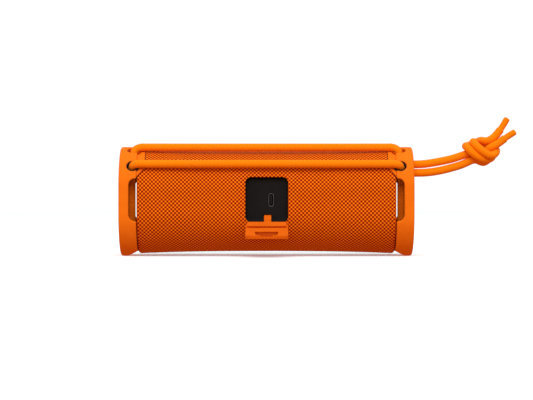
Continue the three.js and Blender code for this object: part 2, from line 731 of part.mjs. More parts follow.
// ---------------------------------------------------------------- strap
const inCap = (p, side) => [p[0] * side, p[1], p[2]];
const STRAP = [
  [102.4, EXIT_Y, EXIT_Z[1]],
  [98.2, EXIT_Y, EXIT_Z[1] + 0.1],
  [95.2, -20.2, 66.4],
  [93.7, -18.6, 70.6],
  [92.2, -18.6, 74.6],
  [88.6, -17.8, 76.5],
  [84, RUN_TOP.y, RUN_TOP.z],
  [60, RUN_TOP.y, RUN_TOP.z],
  [0, RUN_TOP.y, RUN_TOP.z],
  [-60, RUN_TOP.y, RUN_TOP.z],
  [-84, RUN_TOP.y, RUN_TOP.z],
  [-88.6, -17.8, 76.5],
  [-92.2, -18.6, 74.6],
  [-93.7, -18.8, 70.6],
  [-93.8, -19.6, 66.0],
  [-93.8, -22.2, 61.6],
  [-93.8, -26.2, 60.2],
  [-93.6, -29.8, 61.8],
  [-92.3, -32.9, 63.9],
  [-89.2, -33.9, 64.5],
  [-84, RUN_NEAR.y, RUN_NEAR.z],
  [-50, RUN_NEAR.y, RUN_NEAR.z],
  [0, RUN_NEAR.y, RUN_NEAR.z],
  [50, RUN_NEAR.y, RUN_NEAR.z],
  [84, RUN_NEAR.y, RUN_NEAR.z],
  [89.2, -33.9, 64.5],
  [92.4, -32.6, 63.7],
  [94.0, -29.0, 61.6],
  [95.4, -24.4, 59.4],
  [98.2, EXIT_Y, EXIT_Z[0]],
  [102.4, EXIT_Y, EXIT_Z[0]],
];
piece("strap_cord", cord(STRAP, CORD_D, 2, 10), ORANGE_CORD);

const TAIL_UPPER = [
  [102.7, EXIT_Y, 64.4], [107.9, EXIT_Y, 64.5], [112.1, EXIT_Y, 64.85], [116.4, EXIT_Y, 65.5],
  [120.6, EXIT_Y, 66.25], [124.8, EXIT_Y, 67.05], [129.0, EXIT_Y, 68.0], [133.2, EXIT_Y, 69.1],
  [137.4, EXIT_Y, 70.3], [141.0, EXIT_Y, 71.4],
];
const TAIL_LOWER = [
  [102.7, EXIT_Y, 58.5], [107.9, EXIT_Y, 58.5], [112.1, EXIT_Y, 58.65], [116.4, EXIT_Y, 59.15],
  [120.6, EXIT_Y, 59.8], [124.8, EXIT_Y, 60.7], [129.0, EXIT_Y, 61.75], [133.2, EXIT_Y, 63.0],
  [137.4, EXIT_Y, 64.3], [141.6, EXIT_Y, 65.7],
];
piece("strap_tail_upper", cord(TAIL_UPPER, CORD_D, 1, 10), ORANGE_CORD);
piece("strap_tail_lower", cord(TAIL_LOWER, CORD_D, 1, 10), ORANGE_CORD);

// Free ends, each stepping down to a thinner bound tip. grow makes the pocket that the knot holds it in.
const tip = (a, b, c, grow = 0) => {
  const d = new THREE.Vector3(...a).sub(new THREE.Vector3(...b)).normalize().multiplyScalar(grow);
  return join(
    rod([a[0] + d.x, a[1] + d.y, a[2] + d.z], b, CORD_D / 2 + grow, 12),
    rod([b[0] - (c[0] - b[0]) * 0.05, b[1], b[2] - (c[2] - b[2]) * 0.05], c, TIP_D / 2 + grow, 12),
  );
};
const TIP_UPPER = [[158.9, EXIT_Y + 1.2, 80.4], [164.4, EXIT_Y + 1.2, 88.4], [168.9, EXIT_Y + 1.2, 96.1]];
const TIP_LOWER = [[161.3, EXIT_Y - 1.2, 77.6], [168.2, EXIT_Y - 1.2, 83.1], [174.2, EXIT_Y - 1.2, 86.9]];
// The lower end leaves in front of the upper one, so its inner end is cut to clear it.
const upperTip = tip(...TIP_UPPER);
const lowerTip = cut(tip(...TIP_LOWER), tip(...TIP_UPPER, GAP));
piece("strap_tip_upper", upperTip, ORANGE_CORD);
piece("strap_tip_lower", lowerTip, ORANGE_CORD);

// Knot of both strands, as its outer shape, with the pockets the tails and free ends sit in.
{
  const g = new THREE.SphereGeometry(1, 18, 10);
  g.scale(13.1, 10.6, 9.0);
  g.rotateY(THREE.MathUtils.degToRad(-6));
  g.translate(151.2, EXIT_Y + 1.7, 74.1);
  const onward = (pts) => {
    const [p, q] = pts.slice(-2);
    const v = new THREE.Vector3(...q).sub(new THREE.Vector3(...p)).normalize().multiplyScalar(GAP);
    return [...pts.slice(-4), [q[0] + v.x, q[1], q[2] + v.z]];
  };
  const s = cut(
    toSolid(g),
    cord(onward(TAIL_UPPER), CORD_D + 2 * GAP + 0.2, 1, 10),
    cord(onward(TAIL_LOWER), CORD_D + 2 * GAP + 0.2, 1, 10),
    tip(...TIP_UPPER, GAP),
    tip(...TIP_LOWER, GAP),
  );
  piece("strap_knot", s, ORANGE_CORD);
}

export default root;
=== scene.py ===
import math

import bmesh
import bpy
import numpy as np
from mathutils import Matrix, Vector


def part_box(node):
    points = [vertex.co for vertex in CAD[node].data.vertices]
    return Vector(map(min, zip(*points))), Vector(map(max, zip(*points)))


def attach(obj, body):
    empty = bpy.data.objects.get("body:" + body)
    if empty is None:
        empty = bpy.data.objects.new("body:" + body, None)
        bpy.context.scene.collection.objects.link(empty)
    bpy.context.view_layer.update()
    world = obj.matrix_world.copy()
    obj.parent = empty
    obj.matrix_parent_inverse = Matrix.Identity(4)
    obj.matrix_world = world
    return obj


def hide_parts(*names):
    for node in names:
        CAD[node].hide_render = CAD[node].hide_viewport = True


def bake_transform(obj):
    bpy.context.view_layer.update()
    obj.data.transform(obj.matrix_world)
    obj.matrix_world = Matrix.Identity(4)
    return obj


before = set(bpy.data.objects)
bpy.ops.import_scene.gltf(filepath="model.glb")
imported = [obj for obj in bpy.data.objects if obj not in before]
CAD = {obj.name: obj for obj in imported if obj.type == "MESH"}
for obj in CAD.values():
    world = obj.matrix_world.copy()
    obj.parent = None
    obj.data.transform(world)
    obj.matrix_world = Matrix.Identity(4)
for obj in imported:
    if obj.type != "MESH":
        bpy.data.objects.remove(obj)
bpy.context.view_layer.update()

scene = bpy.context.scene

# Millimetre drawing space: x and z as in the frame, y measured from the barrel's axis.
lo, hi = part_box("end_cap_right")
SHIFT_Y = (lo.y + hi.y) / 2 * 1000
END_X = hi.x * 1000  # outer face of the caps


def to_frame(p):
    p = np.asarray(p, float)
    out = p / 1000.0
    out[..., 1] += SHIFT_Y / 1000.0
    return out


# ---------------------------------------------------------------- camera
cam_data = bpy.data.cameras.new("camera")
cam = bpy.data.objects.new("camera", cam_data)
scene.collection.objects.link(cam)
cam_data.sensor_width = 36
cam_data.lens = 132.5
cam_data.clip_start, cam_data.clip_end = 0.05, 50
cam.location = to_frame([0.03, -1400, 39.4])
cam.rotation_euler = (math.radians(90), 0, 0)
scene.camera = cam


# ---------------------------------------------------------------- mesh helpers
def new_object(name, verts_mm, faces, smooth=True):
    me = bpy.data.meshes.new(name)
    me.from_pydata([tuple(v) for v in to_frame(np.asarray(verts_mm, float))], [], [tuple(f) for f in faces])
    me.validate()
    me.update()
    if smooth:
        me.shade_smooth()
    ob = bpy.data.objects.new(name, me)
    scene.collection.objects.link(ob)
    return ob


def bake_modifiers(ob):
    dg = bpy.context.evaluated_depsgraph_get()
    dg.update()
    me = bpy.data.meshes.new_from_object(ob.evaluated_get(dg))
    ob.modifiers.clear()
    old, ob.data = ob.data, me
    me.name = ob.name
    if old.users == 0:
        bpy.data.meshes.remove(old)
    return ob


def csg(base, *ops):
    for kind, tool in ops:
        m = base.modifiers.new("b", "BOOLEAN")
        m.operation = {"-": "DIFFERENCE", "+": "UNION", "&": "INTERSECT"}[kind]
        m.object = tool
        m.solver = "EXACT"
    bake_modifiers(base)
    for _, tool in ops:
        me = tool.data
        bpy.data.objects.remove(tool)
        if me.users == 0:
            bpy.data.meshes.remove(me)
    return base


def soften(ob, voxel_mm, iterations):
    """Moulded look: an even mesh whose edges are all slightly rounded."""
    m = ob.modifiers.new("r", "REMESH")
    m.mode = "VOXEL"
    m.voxel_size = voxel_mm / 1000
    s = ob.modifiers.new("s", "SMOOTH")
    s.factor = 0.5
    s.iterations = iterations
    bake_modifiers(ob)
    ob.data.shade_smooth()
    return ob


def edge_round(ob, width_mm, segments=3, angle=35):
    m = ob.modifiers.new("bevel", "BEVEL")
    m.width = width_mm / 1000
    m.segments = segments
    m.limit_method = "ANGLE"
    m.angle_limit = math.radians(angle)
    m.harden_normals = False
    return ob


def rr(hw, hh, r, seg, cx=0.0, cy=0.0, grow=0.0):
    """Rounded rectangle, counter-clockwise."""
    pts = []
    for sx, sy, a0 in ((1, 1, 0), (-1, 1, 90), (-1, -1, 180), (1, -1, 270)):
        for i in range(seg + 1):
            a = math.radians(a0 + 90 * i / seg)
            pts.append((cx + sx * (hw - r) + (r + grow) * math.cos(a), cy + sy * (hh - r) + (r + grow) * math.sin(a)))
    return pts


def circle(r, n, cx=0.0, cy=0.0):
    return [(cx + r * math.cos(2 * math.pi * i / n), cy + r * math.sin(2 * math.pi * i / n)) for i in range(n)]


def loft(name, stations, place, smooth=True):
    """Closed body through rings with the same number of points; place(at, point) gives x, y, z."""
    n = len(stations[0][1])
    verts = [place(at, p) for at, pts in stations for p in pts]
    faces = []
    for k in range(len(stations) - 1):
        for i in range(n):
            j = (i + 1) % n
            faces.append((k * n + i, k * n + j, (k + 1) * n + j, (k + 1) * n + i))
    faces.append(tuple(range(n - 1, -1, -1)))
    faces.append(tuple(range((len(stations) - 1) * n, len(stations) * n)))
    ob = new_object(name, verts, faces, smooth)
    bm = bmesh.new()
    bm.from_mesh(ob.data)
    bmesh.ops.recalc_face_normals(bm, faces=bm.faces)
    bm.to_mesh(ob.data)
    bm.free()
    return ob


def loft_x(name, stations):
    return loft(name, stations, lambda x, p: (x, p[0], p[1]))


def loft_y(name, stations):
    return loft(name, stations, lambda y, p: (p[0], y, p[1]))


def loft_z(name, stations):
    return loft(name, stations, lambda z, p: (p[0], p[1], z))


def rod(name, a, b, r, n=40):
    a, b = Vector(a), Vector(b)
    axis = (b - a).normalized()
    u = axis.orthogonal().normalized()
    v = axis.cross(u)
    rings = []
    for c in (a, b):
        rings.append([tuple(c + u * (r * math.cos(2 * math.pi * i / n)) + v * (r * math.sin(2 * math.pi * i / n))) for i in range(n)])
    verts = rings[0] + rings[1]
    faces = [(i, (i + 1) % n, n + (i + 1) % n, n + i) for i in range(n)]
    faces += [tuple(range(n - 1, -1, -1)), tuple(range(n, 2 * n))]
    return new_object(name, verts, faces)


def box_body(name, x0, x1, y0, y1, z0, z1):
    return loft_z(name, [(z0, [(x0, y0), (x1, y0), (x1, y1), (x0, y1)]), (z1, [(x0, y0), (x1, y0), (x1, y1), (x0, y1)])])


def turned_x(name, profile, side, cy, cz, n=96):
    """Lathe about the X direction: profile of (radius, x); side mirrors it."""
    verts, faces, rings = [], [], []
    for r, x in profile:
        if r < 1e-6:
            rings.append([len(verts)])
            verts.append((x * side, cy, cz))
        else:
            rings.append(list(range(len(verts), len(verts) + n)))
            verts += [(x * side, cy + r * math.cos(2 * math.pi * i / n), cz + r * math.sin(2 * math.pi * i / n)) for i in range(n)]
    for a, b in zip(rings[:-1], rings[1:]):
        for i in range(n):
            j = (i + 1) % n
            if len(a) == 1:
                faces.append((a[0], b[i], b[j]))
            elif len(b) == 1:
                faces.append((a[i], a[j], b[0]))
            else:
                faces.append((a[i], a[j], b[j], b[i]))
    ob = new_object(name, verts, faces)
    bm = bmesh.new()
    bm.from_mesh(ob.data)
    bmesh.ops.recalc_face_normals(bm, faces=bm.faces)
    bm.to_mesh(ob.data)
    bm.free()
    ob.data.shade_smooth()
    return ob


# ---------------------------------------------------------------- materials
def lin(c):
    c = c / 255.0
    return c / 12.92 if c <= 0.04045 else ((c + 0.055) / 1.055) ** 2.4


def rgb(r, g, b):
    return (lin(r), lin(g), lin(b), 1.0)


class Mat:
    """A Principled material with a small node tree."""

    def __init__(self, name):
        self.m = bpy.data.materials.new(name)
        self.m.use_nodes = True
        self.t = self.m.node_tree
        self.b = next(n for n in self.t.nodes if n.type == "BSDF_PRINCIPLED")

    def node(self, kind, **values):
        n = self.t.nodes.new(kind)
        for k, v in values.items():
            if k in n.inputs:
                n.inputs[k].default_value = v
            else:
                setattr(n, k, v)
        return n

    def link(self, a, b):
        self.t.links.new(a, b)

    def math(self, op, a, b=None, clamp=False):
        n = self.t.nodes.new("ShaderNodeMath")
        n.operation = op
        n.use_clamp = clamp
        for i, v in enumerate((a, b)):
            if v is None:
                continue
            if isinstance(v, (int, float)):
                n.inputs[i].default_value = v
            else:
                self.link(v, n.inputs[i])
        return n.outputs[0]

    def coords(self):
        return self.node("ShaderNodeTexCoord").outputs["Object"]

    def noise(self, scale, detail=2.0, rough=0.5, vector=None):
        n = self.node("ShaderNodeTexNoise")
        n.inputs["Scale"].default_value = scale
        n.inputs["Detail"].default_value = detail
        n.inputs["Roughness"].default_value = rough
        self.link(vector if vector is not None else self.coords(), n.inputs["Vector"])
        return n.outputs["Fac"]

    def ramp(self, fac, stops):
        r = self.t.nodes.new("ShaderNodeValToRGB")
        while len(r.color_ramp.elements) > 1:
            r.color_ramp.elements.remove(r.color_ramp.elements[-1])
        r.color_ramp.elements[0].position = stops[0][0]
        r.color_ramp.elements[0].color = stops[0][1]
        for p, c in stops[1:]:
            r.color_ramp.elements.new(p).color = c
        self.link(fac, r.inputs["Fac"])
        return r.outputs["Color"]

    def mix(self, fac, a, b, mode="MIX"):
        n = self.t.nodes.new("ShaderNodeMix")
        n.data_type = "RGBA"
        n.blend_type = mode
        if isinstance(fac, (int, float)):
            n.inputs["Factor"].default_value = fac
        else:
            self.link(fac, n.inputs["Factor"])
        for v, key in ((a, "A"), (b, "B")):
            sock = next(s for s in n.inputs if s.name == key and s.type == "RGBA")
            if isinstance(v, tuple):
                sock.default_value = v
            else:
                self.link(v, sock)
        return next(s for s in n.outputs if s.type == "RGBA")

    def bump(self, height, strength, distance_mm, normal=None):
        n = self.t.nodes.new("ShaderNodeBump")
        n.inputs["Strength"].default_value = strength
        n.inputs["Distance"].default_value = distance_mm / 1000
        self.link(height, n.inputs["Height"])
        if normal is not None:
            self.link(normal, n.inputs["Normal"])
        return n.outputs["Normal"]

    def set(self, color=None, rough=None, normal=None, **fixed):
        if color is not None:
            self.link(color, self.b.inputs["Base Color"])
        if rough is not None:
            if isinstance(rough, (int, float)):
                self.b.inputs["Roughness"].default_value = rough
            else:
                self.link(rough, self.b.inputs["Roughness"])
        if normal is not None:
            self.link(normal, self.b.inputs["Normal"])
        for k, v in fixed.items():
            self.b.inputs[k.replace("_", " ")].default_value = v
        return self.m


def moulded(name, dark, base, light, rough=(0.5, 0.62), grain=2600, grain_strength=0.12, specular=0.3, mottle=90, tint=None):
    """Fine-grained moulded plastic or rubber: mottled colour, uneven gloss, and a spark-eroded grain."""
    m = Mat(name)
    big = m.noise(mottle, 3.0, 0.6)
    fine = m.noise(grain, 2.0, 0.6)
    col = m.ramp(big, [(0.3, dark), (0.5, base), (0.72, light)])
    r = m.math("ADD", m.math("MULTIPLY", m.noise(420, 3.0), rough[1] - rough[0]), rough[0])
    n = m.bump(fine, grain_strength, 0.05)
    m.set(col, r, n, Specular_IOR_Level=specular)
    if tint:
        m.b.inputs["Specular Tint"].default_value = tint
    return m.m


ORANGE_RUBBER = moulded("orange_rubber", rgb(235, 112, 18), rgb(238, 116, 20), rgb(241, 120, 22), rough=(0.8, 0.92), grain=2400, grain_strength=0.16, specular=0.08, tint=(1.0, 0.42, 0.08, 1))
# painted shade: the caps' orange rubber made darker for the port cover and its tongue, which lie in the body's shade
COVER_SHADED_RUBBER = moulded("cover_shaded_rubber", rgb(222, 98, 15), rgb(226, 101, 16), rgb(230, 105, 18), rough=(0.8, 0.92), grain=2400, grain_strength=0.16, specular=0.08, tint=(1.0, 0.42, 0.08, 1))
# painted shade: a darker copy of the orange rubber, for the pieces that stand in for shade in the cover's scoop and the
# upper rope holes
PAINTED_SHADE_RUBBER = moulded("painted_shade_rubber", rgb(176, 60, 8), rgb(186, 66, 9), rgb(196, 72, 10), rough=(0.85, 0.95), grain=3400, grain_strength=0.5, specular=0.05, tint=(1.0, 0.42, 0.08, 1))
BLACK_PLASTIC = moulded("black_plastic", rgb(19, 19, 19), rgb(22, 22, 22), rgb(25, 25, 25), rough=(0.5, 0.66), grain=3000, grain_strength=0.2, specular=0.07)
DARK_PLASTIC = moulded("dark_plastic", rgb(40, 40, 41), rgb(45, 45, 46), rgb(50, 50, 52), rough=(0.45, 0.65))
BLACK_RUBBER = moulded("black_rubber", rgb(19, 19, 19), rgb(23, 23, 23), rgb(27, 27, 27), rough=(0.6, 0.78), grain=1800)
BOARD = moulded("board", rgb(20, 76, 44), rgb(24, 88, 51), rgb(30, 100, 58), rough=(0.3, 0.45), mottle=260)
CELL = moulded("cell", rgb(40, 100, 165), rgb(46, 110, 176), rgb(54, 120, 186), rough=(0.25, 0.35), grain=900, grain_strength=0.04)
CONE = moulded("cone", rgb(36, 36, 37), rgb(42, 42, 44), rgb(50, 50, 52), rough=(0.6, 0.75), grain=1200, grain_strength=0.3, mottle=400)
DOME = moulded("dome", rgb(46, 46, 48), rgb(52, 52, 54), rgb(58, 58, 61), rough=(0.6, 0.75), grain=3200, grain_strength=0.3)
LIGHT_PIPE = moulded("light_pipe", rgb(224, 230, 236), rgb(231, 237, 242), rgb(238, 243, 247), rough=(0.2, 0.3), grain=900, grain_strength=0.03)


def metal(name, dark, light, rough):
    m = Mat(name)
    streak = m.node("ShaderNodeMapping")
    streak.inputs["Scale"].default_value = (1, 14, 14)
    m.link(m.coords(), streak.inputs["Vector"])
    f = m.noise(700, 4.0, 0.6, streak.outputs["Vector"])
    col = m.ramp(f, [(0.3, dark), (0.7, light)])
    r = m.math("ADD", m.math("MULTIPLY", f, 0.16), rough)
    return m.set(col, r, m.bump(f, 0.06, 0.03), Metallic=1.0)


STEEL = metal("steel", rgb(176, 178, 182), rgb(200, 202, 206), 0.24)
DARK_STEEL = metal("dark_steel", rgb(78, 80, 84), rgb(98, 101, 105), 0.36)

SOCKET_STEEL = metal("socket_steel", rgb(92, 93, 95), rgb(112, 113, 115), 0.45)

WEAVE = 2.7  # mm, one repeat of the fabric's weave: two crowns


def fabric_material():
    """Basket weave read from the sleeve's own UV map, one unit to a repeat."""
    m = Mat("orange_fabric")
    uv = m.node("ShaderNodeUVMap")
    uv.uv_map = "weave"
    jig = m.node("ShaderNodeTexNoise")
    jig.inputs["Scale"].default_value = 1.7
    jig.inputs["Detail"].default_value = 2.0
    m.link(uv.outputs["UV"], jig.inputs["Vector"])
    off = m.node("ShaderNodeVectorMath", operation="MULTIPLY_ADD")
    off.inputs[1].default_value = (0.07, 0.07, 0)
    m.link(jig.outputs["Color"], off.inputs[0])
    m.link(uv.outputs["UV"], off.inputs[2])
    sep = m.node("ShaderNodeSeparateXYZ")
    m.link(off.outputs["Vector"], sep.inputs[0])
    two_pi = 2 * math.pi
    cu = m.math("COSINE", m.math("MULTIPLY", sep.outputs["X"], two_pi))
    cv = m.math("COSINE", m.math("MULTIPLY", sep.outputs["Y"], two_pi))
    crown = m.math("ADD", m.math("MULTIPLY", m.math("MULTIPLY", cu, cv), 0.5), 0.5)
    # fine threads inside each yarn
    thread = m.math("SINE", m.math("MULTIPLY", m.math("ADD", sep.outputs["X"], sep.outputs["Y"]), two_pi * 5))
    crown = m.math("ADD", crown, m.math("MULTIPLY", thread, 0.045), True)
    # colour follows the weave's height: the yarns' own orange, with painted shade in the hollows between yarns and
    # painted highlight on their crowns
    col = m.ramp(crown, [(0.0, FAB[0]), (0.28, FAB[1]), (0.52, FAB[2]), (0.75, FAB[3]), (1.0, FAB[4])])
    patch = m.noise(60, 3.0, 0.6)
    col = m.mix(0.16, col, m.ramp(patch, [(0.35, rgb(196, 70, 10)), (0.65, rgb(255, 150, 40))]), "SOFT_LIGHT")
    r = m.math("SUBTRACT", 0.95, m.math("MULTIPLY", crown, 0.2))
    n = m.bump(crown, 0.45, 0.12)
    return m.set(col, r, n, Specular_IOR_Level=0.12, Specular_Tint=(1.0, 0.4, 0.08, 1), Sheen_Weight=0.06, Sheen_Roughness=0.5, Sheen_Tint=(1.0, 0.35, 0.05, 1))


# weave colours from hollow to crown: the darkest stops are painted shade, the brightest painted highlight
FAB = [rgb(96, 12, 4), rgb(134, 26, 6), rgb(200, 80, 12), rgb(246, 124, 16), rgb(255, 155, 24)]
ORANGE_FABRIC = fabric_material()


def cord_material():
    """Tight braid read from the cord's UV map: u in pitches along it, v in strands around it."""
    m = Mat("orange_cord")
    uv = m.node("ShaderNodeUVMap")
    uv.uv_map = "braid"
    sep = m.node("ShaderNodeSeparateXYZ")
    m.link(uv.outputs["UV"], sep.inputs[0])
    two_pi = 2 * math.pi
    a = m.math("SINE", m.math("MULTIPLY", m.math("ADD", sep.outputs["X"], sep.outputs["Y"]), two_pi))
    b = m.math("SINE", m.math("MULTIPLY", m.math("SUBTRACT", sep.outputs["X"], sep.outputs["Y"]), two_pi))
    lattice = m.math("ADD", m.math("MULTIPLY", m.math("MULTIPLY", a, b), 0.5), 0.5)
    fibre = m.noise(1500, 3.0, 0.6)
    f = m.math("ADD", m.math("MULTIPLY", lattice, 0.7), m.math("MULTIPLY", fibre, 0.3), True)
    col = m.ramp(f, [(0.05, rgb(236, 108, 5)), (0.45, rgb(249, 129, 8)), (0.95, rgb(255, 143, 10))])
    n = m.bump(f, 0.35, 0.08)
    return m.set(col, m.math("SUBTRACT", 0.82, m.math("MULTIPLY", f, 0.12)), n, Specular_IOR_Level=0.15, Specular_Tint=(1.0, 0.5, 0.1, 1), Sheen_Weight=0.05, Sheen_Roughness=0.5, Sheen_Tint=(1.0, 0.5, 0.1, 1))


ORANGE_CORD = cord_material()


def finish(ob, mat):
    ob.data.materials.clear()
    ob.data.materials.append(mat)
    return ob


def place(ob, mat, body, slot, *nodes):
    finish(ob, mat)
    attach(ob, body)
    if nodes:
        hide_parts(*nodes)
    return ob


# ---------------------------------------------------------------- cords
CORD_D = 5.5
TIP_D = 4.4
EXIT_Y = -21.0
STRAP = [
    (102.4, -21, 64.4), (98.2, -21, 64.5), (95.2, -20.2, 66.4), (93.7, -18.6, 70.6), (92.2, -18.6, 74.6),
    (88.6, -17.8, 76.35), (84, -17.5, 76.45), (60, -17.5, 76.45), (0, -17.5, 76.45), (-60, -17.5, 76.45),
    (-84, -17.5, 76.45), (-88.6, -17.8, 76.35), (-92.2, -18.6, 74.6), (-93.7, -18.8, 70.6), (-93.8, -19.6, 66.0),
    (-93.8, -22.2, 61.6), (-93.8, -26.2, 60.2), (-93.6, -29.8, 61.8), (-92.3, -32.9, 63.9), (-89.2, -33.9, 64.5),
    (-84, -34, 64.5), (-50, -34, 64.5), (0, -34, 64.5), (50, -34, 64.5), (84, -34, 64.5), (89.2, -33.9, 64.5),
    (92.4, -32.6, 63.7), (94.0, -29.0, 61.6), (95.4, -24.4, 59.4), (98.2, -21, 58.5), (102.4, -21, 58.5),
]
# Both free strands: out of the cap, through the doubled overhand knot, to the bound tip.
STRAND_UPPER = [
    (102.70, -21.00, 64.40), (104.29, -21.00, 64.42), (105.88, -21.00, 64.44), (107.48, -21.00, 64.49), (109.07, -21.00, 64.57),
    (110.65, -21.00, 64.70), (112.24, -21.00, 64.87), (113.82, -21.00, 65.08), (115.39, -21.00, 65.33), (116.96, -21.00, 65.59),
    (118.53, -21.00, 65.87), (120.10, -21.00, 66.15), (121.66, -21.00, 66.44), (123.23, -21.00, 66.74), (124.79, -21.00, 67.05),
    (126.35, -21.00, 67.38), (127.90, -21.00, 67.72), (129.45, -21.00, 68.09), (130.98, -21.00, 68.49), (132.49, -21.00, 68.96),
    (133.96, -21.01, 69.51), (135.46, -21.03, 70.01), (136.99, -21.03, 70.46), (138.51, -20.99, 70.95), (140.02, -20.91, 71.51),
    (141.51, -20.79, 72.12), (142.99, -20.59, 72.74), (144.45, -20.31, 73.34), (145.89, -19.90, 73.92), (147.27, -19.35, 74.50),
    (148.58, -18.63, 75.05), (149.76, -17.70, 75.58), (150.87, -16.61, 75.97), (151.99, -15.48, 76.26), (153.22, -14.46, 76.40),
    (154.58, -13.65, 76.50), (156.03, -13.11, 76.50), (157.52, -12.90, 76.42), (158.97, -13.12, 76.26), (160.23, -13.77, 75.98),
    (161.18, -14.81, 75.62), (161.76, -16.10, 75.17), (161.97, -17.52, 74.65), (161.91, -18.97, 74.06), (161.64, -20.41, 73.42),
    (161.21, -21.79, 72.76), (160.59, -23.08, 72.04), (159.75, -24.24, 71.35), (158.74, -25.28, 70.73), (157.58, -26.20, 70.38),
    (156.27, -26.95, 70.48), (154.92, -27.43, 71.03), (153.57, -27.70, 71.81), (152.24, -27.85, 72.68), (150.94, -27.93, 73.60),
    (149.67, -27.94, 74.56), (148.47, -27.85, 75.59), (147.35, -27.56, 76.66), (146.40, -26.96, 77.73), (145.69, -26.00, 78.71),
    (145.27, -24.74, 79.52), (145.14, -23.28, 80.05), (145.23, -21.73, 80.31), (145.42, -20.16, 80.32), (145.62, -18.62, 80.13),
    (145.82, -17.15, 79.71), (146.03, -15.78, 79.05), (146.31, -14.58, 78.14), (146.68, -13.57, 77.05), (147.17, -12.68, 75.90),
    (147.80, -11.92, 74.78), (148.60, -11.37, 73.71), (149.56, -11.25, 72.73), (150.58, -11.63, 71.93), (151.53, -12.49, 71.40),
    (152.33, -13.68, 71.15), (152.96, -15.04, 71.08), (153.41, -16.48, 71.29), (153.75, -17.89, 71.78), (154.09, -19.21, 72.55),
    (154.57, -20.42, 73.45), (155.25, -21.49, 74.37), (156.13, -22.37, 75.31), (157.23, -23.01, 76.20), (158.56, -23.30, 76.97),
    (160.01, -23.26, 77.59), (161.41, -23.06, 78.31), (162.74, -22.81, 79.14), (164.00, -22.58, 80.07), (165.24, -22.40, 81.05),
    (166.50, -22.26, 82.02), (167.78, -22.19, 82.96), (169.09, -22.18, 83.86), (170.43, -22.19, 84.73), (171.78, -22.19, 85.57),
    (173.14, -22.20, 86.40),
]
STRAND_LOWER = [
    (102.70, -21.00, 58.50), (104.30, -21.00, 58.49), (105.91, -21.00, 58.49), (107.51, -21.00, 58.49), (109.11, -21.00, 58.52),
    (110.71, -21.00, 58.58), (112.31, -21.00, 58.68), (113.91, -21.00, 58.83), (115.50, -21.00, 59.02), (117.09, -21.00, 59.24),
    (118.67, -21.00, 59.48), (120.25, -21.00, 59.74), (121.83, -21.00, 60.04), (123.39, -21.00, 60.38), (124.96, -21.00, 60.73),
    (126.51, -21.00, 61.11), (128.07, -21.00, 61.51), (129.61, -21.00, 61.94), (131.15, -21.00, 62.38), (132.69, -21.00, 62.81),
    (134.23, -21.00, 63.23), (135.76, -21.00, 63.71), (137.26, -21.01, 64.25), (138.75, -21.03, 64.86), (140.21, -21.05, 65.53),
    (141.65, -21.05, 66.24), (143.09, -20.97, 66.95), (144.53, -20.76, 67.61), (145.99, -20.34, 68.01), (147.43, -19.66, 67.94),
    (148.79, -18.82, 67.53), (150.05, -17.85, 66.91), (151.24, -16.79, 66.28), (152.43, -15.64, 65.87), (153.60, -14.46, 65.86),
    (154.73, -13.38, 66.34), (155.81, -12.51, 67.18), (156.85, -11.97, 68.22), (157.87, -11.90, 69.24), (158.77, -12.44, 70.04),
    (159.35, -13.52, 70.40), (159.47, -14.86, 70.28), (159.20, -16.25, 69.84), (158.68, -17.62, 69.27), (157.96, -18.95, 68.72),
    (157.06, -20.22, 68.30), (156.00, -21.39, 68.02), (154.81, -22.46, 67.86), (153.55, -23.45, 67.81), (152.23, -24.37, 67.93),
    (150.88, -25.20, 68.27), (149.52, -25.89, 68.82), (148.16, -26.41, 69.54), (146.82, -26.78, 70.38), (145.52, -27.03, 71.30),
    (144.26, -27.15, 72.32), (143.10, -27.06, 73.42), (142.07, -26.69, 74.57), (141.21, -25.95, 75.64), (140.59, -24.81, 76.48),
    (140.25, -23.38, 77.01), (140.18, -21.80, 77.28), (140.28, -20.15, 77.36), (140.42, -18.46, 77.34), (140.60, -16.75, 77.28),
    (140.82, -15.03, 77.25), (141.14, -13.34, 77.28), (141.67, -11.73, 77.41), (142.50, -10.32, 77.66), (143.62, -9.22, 78.05),
    (144.98, -8.58, 78.55), (146.42, -8.48, 79.12), (147.80, -8.96, 79.71), (148.96, -9.93, 80.25), (149.88, -11.24, 80.73),
    (150.59, -12.73, 81.14), (151.21, -14.32, 81.41), (151.82, -15.91, 81.42), (152.52, -17.43, 81.14), (153.36, -18.78, 80.74),
    (154.42, -19.89, 80.53), (155.69, -20.64, 80.82), (157.06, -20.97, 81.44), (158.41, -20.95, 82.25), (159.66, -20.71, 83.20),
    (160.81, -20.36, 84.26), (161.88, -20.04, 85.42), (162.89, -19.81, 86.64), (163.87, -19.67, 87.90), (164.81, -19.60, 89.20),
    (165.69, -19.59, 90.54), (166.53, -19.61, 91.90), (167.34, -19.67, 93.29), (168.12, -19.74, 94.68), (168.92, -19.80, 96.07),
]


def relax(points, passes):
    """Evens out the small unevenness of the points, with both ends kept."""
    p = np.array(points, float)
    for _ in range(passes):
        p[1:-1] = p[1:-1] * 0.5 + (p[:-2] + p[2:]) * 0.25
    return [tuple(q) for q in p]


